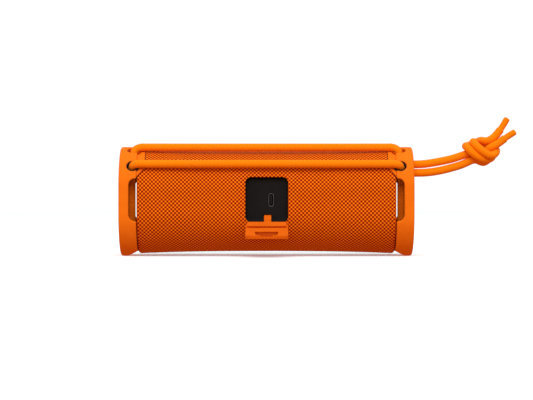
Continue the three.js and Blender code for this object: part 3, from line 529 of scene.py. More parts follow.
def spline(points, step):
    """Centripetal Catmull-Rom through the points, resampled at an even step."""
    p = [np.array(q, float) for q in points]
    p = [2 * p[0] - p[1]] + p + [2 * p[-1] - p[-2]]
    out = []
    for i in range(1, len(p) - 2):
        p0, p1, p2, p3 = p[i - 1 : i + 3]
        t0 = 0.0
        t1 = t0 + np.linalg.norm(p1 - p0) ** 0.5
        t2 = t1 + np.linalg.norm(p2 - p1) ** 0.5
        t3 = t2 + np.linalg.norm(p3 - p2) ** 0.5
        n = max(6, int(np.linalg.norm(p2 - p1) / 0.3))
        for t in np.linspace(t1, t2, n, endpoint=False):
            a1 = (t1 - t) / (t1 - t0) * p0 + (t - t0) / (t1 - t0) * p1
            a2 = (t2 - t) / (t2 - t1) * p1 + (t - t1) / (t2 - t1) * p2
            a3 = (t3 - t) / (t3 - t2) * p2 + (t - t2) / (t3 - t2) * p3
            b1 = (t2 - t) / (t2 - t0) * a1 + (t - t0) / (t2 - t0) * a2
            b2 = (t3 - t) / (t3 - t1) * a2 + (t - t1) / (t3 - t1) * a3
            out.append((t2 - t) / (t2 - t1) * b1 + (t - t1) / (t2 - t1) * b2)
    out.append(p[-2])
    out = np.array(out)
    s = np.r_[0, np.cumsum(np.linalg.norm(np.diff(out, axis=0), axis=1))]
    n = max(2, int(round(s[-1] / step)))
    q = np.linspace(0, s[-1], n + 1)
    return np.stack([np.interp(q, s, out[:, k]) for k in range(3)], 1), q


def tube(name, points, radius, around=32, step=0.55, pitch=2.2, strands=8, relief=0.06, ends=(False, False), ribs=None):
    """Braided tube. radius(s, total) in mm; relief is the braid's height; ends closes them with a rounded cap; ribs is (from, to) measured back from the far end, where a binding thread is wound round it."""
    path, s = spline(points, step)
    total = s[-1]
    n = len(path)
    tan = np.gradient(path, axis=0)
    tan /= np.linalg.norm(tan, axis=1)[:, None]
    ref = np.array([0.0, 0.0, 1.0]) if abs(tan[0][2]) < 0.9 else np.array([0.0, 1.0, 0.0])
    u = np.cross(tan[0], ref)
    u /= np.linalg.norm(u)
    frames = [u]
    for i in range(1, n):
        u = frames[-1] - tan[i] * np.dot(frames[-1], tan[i])
        frames.append(u / np.linalg.norm(u))
    U = np.array(frames)
    V = np.cross(tan, U)
    th = 2 * math.pi * np.arange(around) / around
    r = np.array([radius(x, total) for x in s])
    grid = np.cos(strands * th[None, :] + 2 * math.pi * s[:, None] / pitch) * np.cos(strands * th[None, :] - 2 * math.pi * s[:, None] / pitch)
    h = relief * grid
    if ribs:
        back = total - s
        inside = np.clip((back - ribs[0]) / 0.5, 0, 1) * np.clip((ribs[1] - back) / 0.8, 0, 1)
        h = h * (1 - inside)[:, None] + (0.15 * np.sin(2 * math.pi * s / 0.95) * inside)[:, None]
    R = r[:, None] + h
    pts = path[:, None, :] + R[..., None] * (np.cos(th)[None, :, None] * U[:, None, :] + np.sin(th)[None, :, None] * V[:, None, :])
    verts = list(map(tuple, pts.reshape(-1, 3)))
    faces, uvs = [], []
    for i in range(n - 1):
        for j in range(around):
            k = (j + 1) % around
            faces.append((i * around + j, i * around + k, (i + 1) * around + k, (i + 1) * around + j))
            v0, v1 = j * strands / around, (j + 1) * strands / around
            u0, u1 = s[i] / pitch, s[i + 1] / pitch
            uvs += [(u0, v0), (u0, v1), (u1, v1), (u1, v0)]
    for end, at, ring, sign in ((ends[0], 0, 0, -1), (ends[1], n - 1, n - 1, 1)):
        if not end:
            continue
        last = [ring * around + j for j in range(around)]
        rad = r[at]
        for lat in (20, 40, 58, 74):
            a = math.radians(lat)
            ring_pts = path[at] + tan[at] * sign * rad * end * math.sin(a) + rad * (1 - (1 - math.cos(a)) * (0.35 + 0.65 * end)) * (
                np.cos(th)[:, None] * U[at] + np.sin(th)[:, None] * V[at]
            )
            now = list(range(len(verts), len(verts) + around))
            verts += list(map(tuple, ring_pts))
            for j in range(around):
                k = (j + 1) % around
                f = (last[j], last[k], now[k], now[j])
                faces.append(f if sign > 0 else f[::-1])
                uvs += [(s[at] / pitch, j * strands / around)] * 4
            last = now
        verts.append(tuple(path[at] + tan[at] * sign * rad * end * 1.02))
        for j in range(around):
            k = (j + 1) % around
            f = (last[j], last[k], len(verts) - 1)
            faces.append(f if sign > 0 else f[::-1])
            uvs += [(s[at] / pitch, j * strands / around)] * 3
    me = bpy.data.meshes.new(name)
    me.from_pydata([tuple(q) for q in to_frame(np.array(verts))], [], faces)
    layer = me.uv_layers.new(name="braid")
    layer.data.foreach_set("uv", np.array(uvs, np.float32).ravel())
    me.update()
    me.shade_smooth()
    ob = bpy.data.objects.new(name, me)
    scene.collection.objects.link(ob)
    # faces point outwards
    bm = bmesh.new()
    bm.from_mesh(me)
    c = Vector(to_frame(path[n // 2]))
    f = min(bm.faces, key=lambda q: (q.calc_center_median() - c).length)
    if f.normal.dot(f.calc_center_median() - c) < 0:
        bmesh.ops.reverse_faces(bm, faces=bm.faces)
        bm.to_mesh(me)
    bm.free()
    me.update()
    return ob, path, total


held, _, _ = tube("strap_cord_braided", STRAP, lambda s, t: CORD_D / 2, around=32, step=0.55)
place(held, ORANGE_CORD, "speaker", "orange_cord", "strap_cord")


def strand(name, points, thin, nodes):
    """thin: length in mm of the slimmer bound tip. The thick part steps down to it over half a millimetre."""

    def radius(s, total):
        t = min(1.0, max(0.0, (total - thin - s) / 0.7 + 0.5))
        t = t * t * (3 - 2 * t)
        return TIP_D / 2 + (CORD_D / 2 - TIP_D / 2) * t

    ob, path, total = tube(name, points, radius, around=32, step=0.4, ends=(False, 0.55), ribs=(thin + 0.5, thin + 7.5))
    place(ob, ORANGE_CORD, "speaker", "orange_cord", *nodes)
    to_frame(points[0]).tolist()
    to_frame(path[::3]).tolist()
    return ob, total


upper = relax([(102.42, -21, 64.4)] + STRAND_UPPER[1:], 3)
lower = relax([(102.42, -21, 58.5)] + STRAND_LOWER[1:], 3)
d = np.array(upper[-1]) - np.array(upper[-2])
upper.append(tuple(np.array(upper[-1]) + d / np.linalg.norm(d) * 0.9))
strand_upper, length_upper = strand("strap_strand_upper", upper, 7.6, ["strap_tail_upper", "strap_tip_lower", "strap_knot"])
strand_lower, length_lower = strand("strap_strand_lower", lower, 8.2, ["strap_tail_lower", "strap_tip_upper"])
print("strand lengths", round(length_upper, 1), round(length_lower, 1))

# ---------------------------------------------------------------- barrel and cap outlines
CAP_DEPTH, CAP_HEIGHT, CAP_CORNER = 76, 77, 30
CAP_INNER_X, CAP_WALL, CAP_CAVITY_X = 90.7, 3.2, 96.2
MID_Z = 38.5
BODY_HALF_Y, BODY_HALF_Z, BODY_CORNER = 34.9, 35.3, 28.5
WAIST, WAIST_POWER, FABRIC, GAP = 1.55, 2.6, 1.2, 0.3
VENT_Z, VENT_CORNER = (24.6, 54.4), 4.5
FOOT_X, FOOT_RISE = 97.9, 4.0
EAR_X = 85.2
HOLE_X = 93.4
HOLE_1 = (-33.1, 63.4, 4.3)
HOLE_2 = (-19.5, 74.7, 4.6)
EXIT_Z, EXIT_R = (58.5, 64.4), 3.25
PORT = dict(x=0.2, w=29.9, z0=23.9, z1=55.4, r=3.9)
STRIP = dict(x=43.0, y0=-3.4, y1=12.6, r=5.0)


def cap_section(grow, seg=22):
    return rr(CAP_DEPTH / 2, CAP_HEIGHT / 2, CAP_CORNER, seg, 0, MID_Z, grow)


def waist(x):
    return WAIST * (abs(x) / 90) ** WAIST_POWER


def body_section(x, grow, seg=22):
    return rr(BODY_HALF_Y, BODY_HALF_Z, BODY_CORNER, seg, 0, MID_Z, grow + waist(x))


def ear_edge(x, pad=0.0):
    return 61.5 - 1.109 * (x - EAR_X) - 1.5 * pad


# ---------------------------------------------------------------- end caps
def make_cap(name, side, with_exit):
    fillet = [(END_X - 1.5 * (1 - math.sin(math.radians(a))), -1.5 * (1 - math.cos(math.radians(a)))) for a in (0, 22, 45, 67, 90)]
    base = loft_x("cap", [(CAP_INNER_X, cap_section(-0.5)), (CAP_INNER_X + 0.5, cap_section(0))] + [(x, cap_section(g)) for x, g in fillet])
    ops = [("-", loft_x("t", [(85, cap_section(-CAP_WALL)), (CAP_CAVITY_X, cap_section(-CAP_WALL))]))]
    pocket = csg(loft_x("pocket", [(x, rr(11, 10.2, 4, 6, -22, 63.6)) for x in (95, 99.4)]), ("&", loft_x("t", [(x, cap_section(-CAP_WALL)) for x in (94, 100)])))
    ops.append(("-", pocket))
    ear = csg(
        loft_x("ear", [(x, body_section(90, 0.15)) for x in (84, 93)]),
        ("-", loft_x("t", [(x, body_section(90, -1.3)) for x in (83, 94)])),
        ("&", loft_y("t", [(y, [(EAR_X, ear_edge(EAR_X)), (CAP_INNER_X + 0.8, ear_edge(CAP_INNER_X + 0.8)), (CAP_INNER_X + 0.8, 90), (EAR_X, 90)]) for y in (-60, 2)])),
    )
    ops.append(("+", ear))
    vc, vh = sum(VENT_Z) / 2, (VENT_Z[1] - VENT_Z[0]) / 2
    ops.append(("-", loft_y("t", [(y, rr(8, vh, VENT_CORNER, 12, 88, vc)) for y in (-45, 45)])))
    ops.append(("-", loft_y("t", [(y, [(FOOT_X, -5), (FOOT_X, 0), (90, FOOT_RISE), (84, FOOT_RISE), (84, -5)]) for y in (-45, 45)])))
    cy, cz = -(CAP_DEPTH / 2 - CAP_CORNER), MID_Z + CAP_HEIGHT / 2 - CAP_CORNER
    for hy, hz, r in (HOLE_1, HOLE_2):
        d = Vector((hy - cy, hz - cz)).normalized()
        ops.append(("-", rod("t", (HOLE_X, cy + d.x * 22, cz + d.y * 22), (HOLE_X, cy + d.x * 36, cz + d.y * 36), r)))
    if with_exit:
        h = (EXIT_Z[1] - EXIT_Z[0]) / 2 + EXIT_R
        ops.append(("-", loft_x("t", [(x, rr(EXIT_R, h, EXIT_R, 12, EXIT_Y, sum(EXIT_Z) / 2)) for x in (94, 110)])))
    # rib behind the vent on the port side
    ops.append(("+", box_body("t", 91.8, CAP_CAVITY_X + 0.4, -25.2, -23.2, 18.5, 60.5)))
    ops.append(("-", turned_x("t", [(0, END_X - 1.1), (22.4, END_X - 1.1), (22.4, 106), (0, 106)], 1, 0, MID_Z, 64)))
    csg(base, *ops)
    for p, q in ((22, 62.5), (22, 14.5), (-22, 14.5), (-2.5, 68.8)):
        csg(base, ("+", rod("t", (90.9, p, q), (CAP_CAVITY_X + 0.4, p, q), 3.0, 28)), ("-", rod("t", (90, p, q), (CAP_CAVITY_X + 1.2, p, q), 1.6, 24)))
    base.name = base.data.name = name
    if side < 0:
        base.data.transform(Matrix.Scale(-1, 4, (1, 0, 0)))
        base.data.flip_normals()
    return soften(base, 0.45, 3)


def hole_shade_sleeve(name, side, hole, mat, slot):
    """Thin dark sleeve inside a rope hole, its mouth a little below the cap's surface and cut to its curve: painted
    shade that darkens the hole's wall.
    """
    hy, hz, r = hole
    cy, cz = -(CAP_DEPTH / 2 - CAP_CORNER), MID_Z + CAP_HEIGHT / 2 - CAP_CORNER
    d = Vector((hy - cy, hz - cz)).normalized()
    a, b = ((HOLE_X, cy + d.x * q, cz + d.y * q) for q in (24.5, 33))
    a2, b2 = ((HOLE_X, cy + d.x * q, cz + d.y * q) for q in (22, 36))
    ob = csg(
        rod(name, a, b, r + 0.06, 48),
        ("-", rod("t", a2, b2, r - 0.4, 48)),
        ("&", loft_x("t", [(x, cap_section(-0.5)) for x in (80, 106)])),
        ("-", loft_x("t", [(x, body_section(90, -1.25)) for x in (70, 91.2)])),
    )
    if side < 0:
        ob.data.transform(Matrix.Scale(-1, 4, (1, 0, 0)))
        ob.data.flip_normals()
    place(ob, mat, "speaker", slot)


# the sleeves in the rope holes are painted shade: black in the lower hole, dark orange in the upper
for side, word in ((1, "right"), (-1, "left")):
    hole_shade_sleeve(f"hole_shade_sleeve_{word}_1", side, HOLE_1, BLACK_RUBBER, "black_rubber")
    hole_shade_sleeve(f"hole_shade_sleeve_{word}_2", side, HOLE_2, PAINTED_SHADE_RUBBER, "orange_rubber")
    cap = make_cap(f"cap_{word}_moulding", side, side > 0)
    place(cap, ORANGE_RUBBER, "speaker", "orange_rubber", f"end_cap_{word}")
    disc = turned_x(
        f"disc_{word}_moulding",
        [(0, 102.2), (21.6, 102.2), (22.0, 102.35), (22.0, 102.62), (21.85, 102.82), (21.5, 102.93), (21.0, 102.97), (17.2, 102.97), (16.4, 102.9), (15.9, 102.72), (15.5, 102.66), (15.1, 102.72), (14.6, 102.9), (13.8, 102.97), (8, 102.98), (0, 102.99)],
        side, 0, MID_Z, 128,
    )
    place(disc, ORANGE_RUBBER, "speaker", "orange_rubber", f"end_disc_{word}")


# ---------------------------------------------------------------- fabric sleeve
def sleeve():
    base = np.array(rr(BODY_HALF_Y, BODY_HALF_Z, BODY_CORNER, 1, 0, MID_Z))
    # perimeter parameter: four straights and four arcs, starting at the middle of the rear (-Y) side
    hy, hz, r = BODY_HALF_Y - BODY_CORNER, BODY_HALF_Z - BODY_CORNER, BODY_CORNER
    q = math.pi / 2 * r
    spans = [("l", hz), ("a", q), ("l", 2 * hy), ("a", q), ("l", 2 * hz), ("a", q), ("l", 2 * hy), ("a", q), ("l", hz)]
    total = sum(x for _, x in spans)
    repeats = round(total / WEAVE)
    n_v = repeats * 4
    n_u = 4 * round(2 * 90.4 / WEAVE)
    dx = 2 * 90.4 / n_u

    def base_point(s):
        """Point and outward normal of the unwaisted section at perimeter length s, going up the rear side first."""
        s = np.mod(s, total)
        y = np.empty_like(s)
        z = np.empty_like(s)
        ny = np.empty_like(s)
        nz = np.empty_like(s)
        corners = [(-hy, MID_Z + hz), (hy, MID_Z + hz), (hy, MID_Z - hz), (-hy, MID_Z - hz)]
        at = 0.0
        lines = [
            (lambda t: (-BODY_HALF_Y + 0 * t, MID_Z + t, -1, 0)),
            None,
            (lambda t: (-hy + t, MID_Z + BODY_HALF_Z + 0 * t, 0, 1)),
            None,
            (lambda t: (BODY_HALF_Y + 0 * t, MID_Z + hz - t, 1, 0)),
            None,
            (lambda t: (hy - t, MID_Z - BODY_HALF_Z + 0 * t, 0, -1)),
            None,
            (lambda t: (-BODY_HALF_Y + 0 * t, MID_Z - hz + t, -1, 0)),
        ]
        k = 0
        for i, (kind, length) in enumerate(spans):
            m = (s >= at - 1e-12) & (s <= at + length + 1e-12)
            t = s[m] - at
            if kind == "l":
                a, b, c, d = lines[i](t)
                y[m], z[m], ny[m], nz[m] = a, b, c, d
            else:
                cy, cz = corners[k]
                a0 = [math.pi, math.pi / 2, 0, -math.pi / 2][k]
                ang = a0 - t / r
                ny[m], nz[m] = np.cos(ang), np.sin(ang)
                y[m], z[m] = cy + r * np.cos(ang), cz + r * np.sin(ang)
                k += 1
            at += length
        return y, z, ny, nz

    def surface(x, s, grow):
        y, z, ny, nz = base_point(s)
        g = grow + WAIST * (np.abs(x) / 90) ** WAIST_POWER
        return np.stack([x, y + ny * g, z + nz * g], -1)

    def rr_sdf(px, py, cx, cy, hw, hh, rad):
        qx = np.abs(px - cx) - (hw - rad)
        qy = np.abs(py - cy) - (hh - rad)
        return np.hypot(np.maximum(qx, 0), np.maximum(qy, 0)) + np.minimum(np.maximum(qx, qy), 0) - rad

    def sdf(x, s):
        """Positive on cloth, negative in a cut-out, in mm."""
        p = surface(x, s, 0.0)
        y, z = p[..., 1], p[..., 2]
        big = np.full(x.shape, 50.0)
        port = np.where(y < -10, rr_sdf(x, z, PORT["x"], (PORT["z0"] + PORT["z1"]) / 2, PORT["w"] / 2, (PORT["z1"] - PORT["z0"]) / 2, PORT["r"]), big)
        strip = np.where(z > 60, rr_sdf(x, y, 0, (STRIP["y0"] + STRIP["y1"]) / 2, STRIP["x"] + GAP, (STRIP["y1"] - STRIP["y0"]) / 2 + GAP, STRIP["r"] + GAP), big)
        ax = np.abs(x)
        edge = ear_edge(ax, GAP)
        ear = np.maximum(np.maximum((EAR_X - GAP) - ax, (edge - z) / math.hypot(1, 1.109)), y - (2 + GAP))
        ear = np.where(z > 50, ear, big)
        return np.minimum(np.minimum(port, strip), ear)

    ui = np.arange(n_u + 1)
    vi = np.arange(n_v)
    X, Sv = np.meshgrid(-90.4 + ui * dx, vi * total / n_v, indexing="ij")
    Ug, Vg = np.meshgrid(ui / 4.0, vi / 4.0, indexing="ij")
    d = sdf(X, Sv)
    h = 0.62 * max(dx, total / n_v)
    near = np.abs(d) < h
    near[0, :] = near[-1, :] = False
    x2, s2 = X.copy(), Sv.copy()
    for _ in range(3):
        e = 0.02
        dd = sdf(x2, s2)
        gx = (sdf(x2 + e, s2) - sdf(x2 - e, s2)) / (2 * e)
        gs = (sdf(x2, s2 + e) - sdf(x2, s2 - e)) / (2 * e)
        g2 = np.maximum(gx * gx + gs * gs, 0.3)
        x2 = np.where(near, x2 - dd * gx / g2, x2)
        s2 = np.where(near, s2 - dd * gs / g2, s2)
    state = np.where(near, 0, np.where(d > 0, 1, -1))
    final = sdf(x2, s2)
    end = 90.4 - np.abs(X)
    fade = np.clip(np.abs(final) / 1.1, 0, 1) * np.clip(end / 1.6, 0, 1)
    fade = np.where(near, 0, fade)
    crown = np.cos(2 * math.pi * Ug) * np.cos(2 * math.pi * Vg)
    hem = np.where(end < 0.25, -1.15, np.where(end < 3.0, -1.15 * np.clip(1 - (end / 1.9), 0, 1) ** 2.2, 0))
    lift = 0.14 * crown * fade - 0.10 * (1 - fade) * (end > 1.6) + hem
    top = surface(x2, s2, 0.0)
    y, z, ny, nz = base_point(s2)
    top = top + np.stack([0 * x2, ny * lift, nz * lift], -1)
    under = surface(x2, s2, -FABRIC)
    verts = top.reshape(-1, 3)
    inner = under.reshape(-1, 3)
    idx = np.arange((n_u + 1) * n_v).reshape(n_u + 1, n_v)
    a, b = idx[:-1, :], idx[1:, :]
    quads = np.stack([a, b, np.roll(b, -1, 1), np.roll(a, -1, 1)], -1).reshape(-1, 4)
    st = state.reshape(-1)[quads]
    uv_u = (x2 / dx / 4.0).reshape(-1)
    uv_v = (s2 / (total / n_v) / 4.0).reshape(-1)
    quv_u = uv_u[quads]
    quv_v = uv_v[quads]
    wrap = (quads // 1 % n_v)  # column index of each corner
    seam = (wrap[:, 0] == n_v - 1)
    quv_v[seam, 2] += repeats
    quv_v[seam, 3] += repeats
    has_in = (st < 0).any(1)
    has_out = (st > 0).any(1)
    keep = ~has_in & has_out
    mixed = has_in & has_out
    faces = [tuple(q) for q in quads[keep]]
    uvs = np.stack([quv_u[keep], quv_v[keep]], -1).reshape(-1, 2).tolist()
    for q, sq, uu, vv in zip(quads[mixed], st[mixed], quv_u[mixed], quv_v[mixed]):
        outs = [i for i in range(4) if sq[i] > 0]
        if len(outs) == 1 and sq[(outs[0] + 2) % 4] < 0:
            o = outs[0]
            tri = [(o - 1) % 4, o, (o + 1) % 4]
            faces.append(tuple(q[i] for i in tri))
            uvs += [(uu[i], vv[i]) for i in tri]
    # cut edges and both ends get the cloth's thickness
    seen = {}
    for fi, f in enumerate(faces):
        for i in range(len(f)):
            a_, b_ = f[i], f[(i + 1) % len(f)]
            key = (min(a_, b_), max(a_, b_))
            seen.setdefault(key, []).append((a_, b_))
    nv = len(verts)
    low = {}
    extra = []
    for key, uses in seen.items():
        if len(uses) != 1:
            continue
        a_, b_ = uses[0]
        for w in (a_, b_):
            if w not in low:
                low[w] = nv + len(extra)
                v = verts[w]
                at_port = v[1] < -10 and abs(v[0] - PORT["x"]) < PORT["w"] / 2 + 1 and PORT["z0"] - 1 < v[2] < PORT["z1"] + 1
                # the port's edge is cut straight in, so that the closed cover clears it
                extra.append(v + np.array([0, 0.62, 0]) if at_port else inner[w])
        faces.append((b_, a_, low[a_], low[b_]))
        ua, va, ub, vb = uv_u[a_], uv_v[a_], uv_u[b_], uv_v[b_]
        if abs(va - vb) > repeats / 2:
            vb = va
        uvs += [(ub, vb), (ua, va), (ua, va), (ub, vb)]
    verts = np.vstack([verts, np.array(extra)])
    me = bpy.data.meshes.new("sleeve_woven")
    used = sorted({i for f in faces for i in f})
    remap = {old: new for new, old in enumerate(used)}
    me.from_pydata([tuple(p) for p in to_frame(verts[used])], [], [tuple(remap[i] for i in f) for f in faces])
    layer = me.uv_layers.new(name="weave")
    layer.data.foreach_set("uv", np.array(uvs, np.float32).ravel())
    me.update()
    me.shade_smooth()
    ob = bpy.data.objects.new("sleeve_woven", me)
    scene.collection.objects.link(ob)
    # outward faces
    mid = me.polygons[len(me.polygons) // 3]
    c = Vector(mid.center)
    axis = Vector((c.x, SHIFT_Y / 1000, MID_Z / 1000))
    if mid.normal.dot(c - axis) < 0:
        me.flip_normals()
    return ob


cloth = sleeve()
place(cloth, ORANGE_FABRIC, "speaker", "orange_fabric", "fabric_sleeve")

# ---------------------------------------------------------------- charging port
PORT_CZ, PORT_HH = (PORT["z0"] + PORT["z1"]) / 2, (PORT["z1"] - PORT["z0"]) / 2
PORT_FLOOR_Y = -29.3
USB = dict(x=3.3, z=39.4, w=3.2, h=8.94)
COVER = dict(w=29.4, gap=0.35, t=2.5, inner_y=-30.45, pad=1.0, pad_w=27.4, pad_len=6.9, pad_y=-29.6)
AXIS_Y, AXIS_Z = -33.5, 22.3
COVER_OPEN = 107.4
TETHER = dict(x=0.8, w=5.1)


def port_outline(grow, seg=14):
    return rr(PORT["w"] / 2, PORT_HH, PORT["r"], seg, PORT["x"], PORT_CZ, grow)


def body_solid(name, grow, xs=(-60, -45, -30, -15, 0, 15, 30, 45, 60)):
    return loft_x(name, [(x, body_section(x, grow)) for x in xs])


tray = csg(
    loft_y("tray_moulding", [(-36, port_outline(1.2)), (PORT_FLOOR_Y + 1.8, port_outline(1.2))]),
    ("&", body_solid("t", -0.55)),
    ("-", loft_y("t", [(-45, port_outline(0)), (-31.6, port_outline(-0.05)), (-30.6, port_outline(-0.25)), (PORT_FLOOR_Y, port_outline(-1.35))])),
    ("-", loft_y("t", [(y, rr(USB["w"] / 2 + 0.35, USB["h"] / 2 + 0.35, USB["w"] / 2 + 0.34, 12, USB["x"], USB["z"])) for y in (-40, 0)])),
    ("-", box_body("t", TETHER["x"] - 2.9, TETHER["x"] + 2.9, -31, -20, 27.2, 29.2)),
)
soften(tray, 0.3, 2)
place(tray, BLACK_PLASTIC, "speaker", "black_plastic", "port_tray")

# USB-C receptacle: steel shell with a rolled mouth, centre tongue
def oval(grow, seg=14):
    return rr(USB["w"] / 2 + grow, USB["h"] / 2 + grow, USB["w"] / 2 + grow - 0.01, seg, USB["x"], USB["z"])


def shell_ring(name, stations):
    """Closed ring body: stations of (y, grow) going round the wall's section."""
    n = len(oval(0))
    verts = [(p[0], y, p[1]) for y, g in stations for p in oval(g)]
    faces = []
    m = len(stations)
    for k in range(m):
        k2 = (k + 1) % m
        for i in range(n):
            j = (i + 1) % n
            faces.append((k * n + i, k * n + j, k2 * n + j, k2 * n + i))
    ob = new_object(name, verts, faces)
    bm = bmesh.new()
    bm.from_mesh(ob.data)
    bmesh.ops.recalc_face_normals(bm, faces=bm.faces)
    bm.to_mesh(ob.data)
    bm.free()
    ob.data.shade_smooth()
    return ob


shell = shell_ring("usb_shell", [(-29.2, 0.3), (-29.42, 0.26), (-29.52, 0.14), (-29.52, -0.02), (-29.42, -0.14), (-29.1, -0.24), (-24.2, -0.24), (-24.2, 0.2), (-28.9, 0.3)])
tongue = loft_y("usb_tongue", [(-29.1, rr(0.62, 3.5, 0.4, 6, USB["x"], USB["z"])), (-28.9, rr(0.8, 3.7, 0.55, 6, USB["x"], USB["z"])), (-24.0, rr(0.82, 3.72, 0.55, 6, USB["x"], USB["z"]))])
back = loft_y("usb_back", [(-24.4, oval(-0.1)), (-23.9, oval(-0.1))])
place(shell, SOCKET_STEEL, "speaker", "steel", "usb_connector")
place(tongue, BLACK_PLASTIC, "speaker", "black_plastic")
place(back, BLACK_PLASTIC, "speaker", "black_plastic")
# moulded rim round the socket, standing a little proud of the panel
rim = shell_ring("usb_rim", [(-29.32, 0.62), (-29.52, 0.56), (-29.6, 0.46), (-29.58, 0.38), (-29.45, 0.33), (-29.2, 0.33), (-29.0, 0.4), (-29.0, 0.62)])
place(rim, BLACK_PLASTIC, "speaker", "black_plastic")


# ---------------------------------------------------------------- port cover, drawn closed and then opened about its hinge
def opened(ob, degrees=COVER_OPEN):
    pivot = Vector(to_frame([0.0, AXIS_Y, AXIS_Z]))
    m = Matrix.Translation(pivot) @ Matrix.Rotation(math.radians(degrees), 4, "X") @ Matrix.Translation(-pivot)
    ob.data.transform(m)
    ob.data.update()
    return ob


z_bottom, z_top = PORT["z0"] + COVER["gap"], PORT["z1"] - COVER["gap"]
cz, hh = (z_bottom + z_top) / 2, (z_top - z_bottom) / 2
outline = rr(COVER["w"] / 2, hh, PORT["r"] - 0.2, 14, PORT["x"], cz)
plate = csg(
    loft_y("cover_moulding", [(y, outline) for y in (-50, COVER["inner_y"])]),
    ("&", body_solid("t", 0.0)),
    ("-", body_solid("t", -COVER["t"])),
)
pad = csg(
    loft_y("pad", [(y, rr(COVER["pad_w"] / 2, COVER["pad_len"] / 2, 1.6, 10, PORT["x"], z_bottom + COVER["pad_len"] / 2 + 0.75)) for y in (-50, COVER["pad_y"])]),
    ("&", body_solid("t", -COVER["t"] + 0.6)),
    ("-", body_solid("t", -COVER["t"] - COVER["pad"])),
)
SCOOP_Z, SCOOP_LONG, SCOOP_FLOOR = z_top - 14.1, 16.2, -1.6


def scoop(inset):
    return [(PORT["x"] - 0.2 + (8.1 - inset) * math.cos(math.pi * i / 30), SCOOP_Z + inset + (SCOOP_LONG - 2 * inset) * math.sin(math.pi * i / 30)) for i in range(31)]


cover = csg(plate, ("+", pad), ("-", csg(loft_y("t", [(y, scoop(0)) for y in (-50, -20)]), ("&", body_solid("t2", SCOOP_FLOOR)))))
foot = z_bottom + COVER["pad_len"] + 0.75
groove = csg(loft_y("t", [(y, [(PORT["x"] - 16, foot - 1.5), (PORT["x"] + 16, foot - 1.5), (PORT["x"] + 16, foot + 1.0), (PORT["x"] - 16, foot + 1.0)]) for y in (-50, -20)]), ("&", body_solid("t2", -1.3)), ("-", body_solid("t3", -3.05)))
csg(cover, ("-", groove))
opened(cover)
soften(cover, 0.2, 2)
place(cover, COVER_SHADED_RUBBER, "cover", "orange_rubber", "port_cover")

# painted shade in the cover's finger scoop: a thin darker sheet on its floor and another on its flat wall
recess_floor_shade = csg(
    loft_y("scoop_floor_shade", [(y, scoop(0.15)) for y in (-50, -20)]),
    ("&", body_solid("t", SCOOP_FLOOR + 0.2)),
    ("-", body_solid("t", SCOOP_FLOOR - 0.12)),
    ("&", loft_y("t", [(y, rr(COVER["w"] / 2, hh - 0.12, PORT["r"] - 0.2, 14, PORT["x"], cz)) for y in (-50, -20)])),
)
wall = csg(
    loft_y("scoop_shade_wall", [(y, [(PORT["x"] - 8.2, SCOOP_Z - 0.2), (PORT["x"] + 7.8, SCOOP_Z - 0.2), (PORT["x"] + 7.8, SCOOP_Z + 0.12), (PORT["x"] - 8.2, SCOOP_Z + 0.12)]) for y in (-50, -20)]),
    ("&", body_solid("t", SCOOP_FLOOR + 0.1)),
    ("-", body_solid("t", -2.42)),
)
for ob in (recess_floor_shade, wall):
    opened(ob)
    place(ob, PAINTED_SHADE_RUBBER, "cover", "orange_rubber")

# rubber tongue from behind the panel to the cover, bending between the two
TONGUE = [
    (-25.9, 28.15), (-27.4, 28.15), (-29.2, 28.15), (-30.4, 28.0), (-31.3, 27.5), (-32.1, 26.7), (-32.9, 25.8), (-33.7, 25.1), (-34.7, 24.75), (-35.8, 24.5), (-36.8, 24.15),
]


def tongue_strip():
    mid, _ = spline([(TETHER["x"], y, z) for y, z in TONGUE], 0.35)
    tan = np.gradient(mid, axis=0)
    tan /= np.linalg.norm(tan, axis=1)[:, None]
    up = np.cross(tan, [1.0, 0, 0])
    up *= np.sign(up[:, 2:3] + 1e-9)
    half_w, half_t, r = TETHER["w"] / 2, 0.72, 0.42
    sec = rr(half_w, half_t, r, 5)
    verts, faces = [], []
    for i, (p, n) in enumerate(zip(mid, up)):
        k = min(1.0, 0.55 + 0.45 * min(i, len(mid) - 1 - i) / 4)
        verts += [tuple(p + np.array([a, 0, 0]) + n * (b * k)) for a, b in sec]
    m = len(sec)
    for i in range(len(mid) - 1):
        for j in range(m):
            k = (j + 1) % m
            faces.append((i * m + j, i * m + k, (i + 1) * m + k, (i + 1) * m + j))
    faces += [tuple(range(m - 1, -1, -1)), tuple(range((len(mid) - 1) * m, len(mid) * m))]
    ob = new_object("tether_strip", verts, faces)
    bm = bmesh.new()
    bm.from_mesh(ob.data)
    bmesh.ops.recalc_face_normals(bm, faces=bm.faces)
    bm.to_mesh(ob.data)
    bm.free()
    ob.data.shade_smooth()
    return ob


tether = tongue_strip()
finish(tether, COVER_SHADED_RUBBER)
tuple(to_frame([0.8, -30.8, 27.6]))
tuple(to_frame([0.8, -34.6, 24.6]))
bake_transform(tether)
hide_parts("cover_tether")

# ---------------------------------------------------------------- buttons on top
STRIP_MID_Y = (STRIP["y0"] + STRIP["y1"]) / 2


def soft_copy(node, name, mat, body, slot, voxel, iterations):
    ob = CAD[node].copy()
    ob.data = CAD[node].data.copy()
    for key in list(ob.keys()):
        del ob[key]
    ob.name = ob.data.name = name
    scene.collection.objects.link(ob)
    ob.parent = None
    ob.matrix_world = Matrix.Identity(4)
    soften(ob, voxel, iterations)
    return place(ob, mat, body, slot, node)


soft_copy("button_strip", "strip_moulding", ORANGE_RUBBER, "speaker", "orange_rubber", 0.28, 2)
for b in ("power", "pairing", "volume_down", "play", "volume_up"):
    soft_copy(f"{b}_button", f"{b}_key", ORANGE_RUBBER, f"{b}_button", "orange_rubber", 0.2, 2)
soft_copy("status_light", "status_lens", LIGHT_PIPE, "speaker", "light_pipe", 0.12, 2)

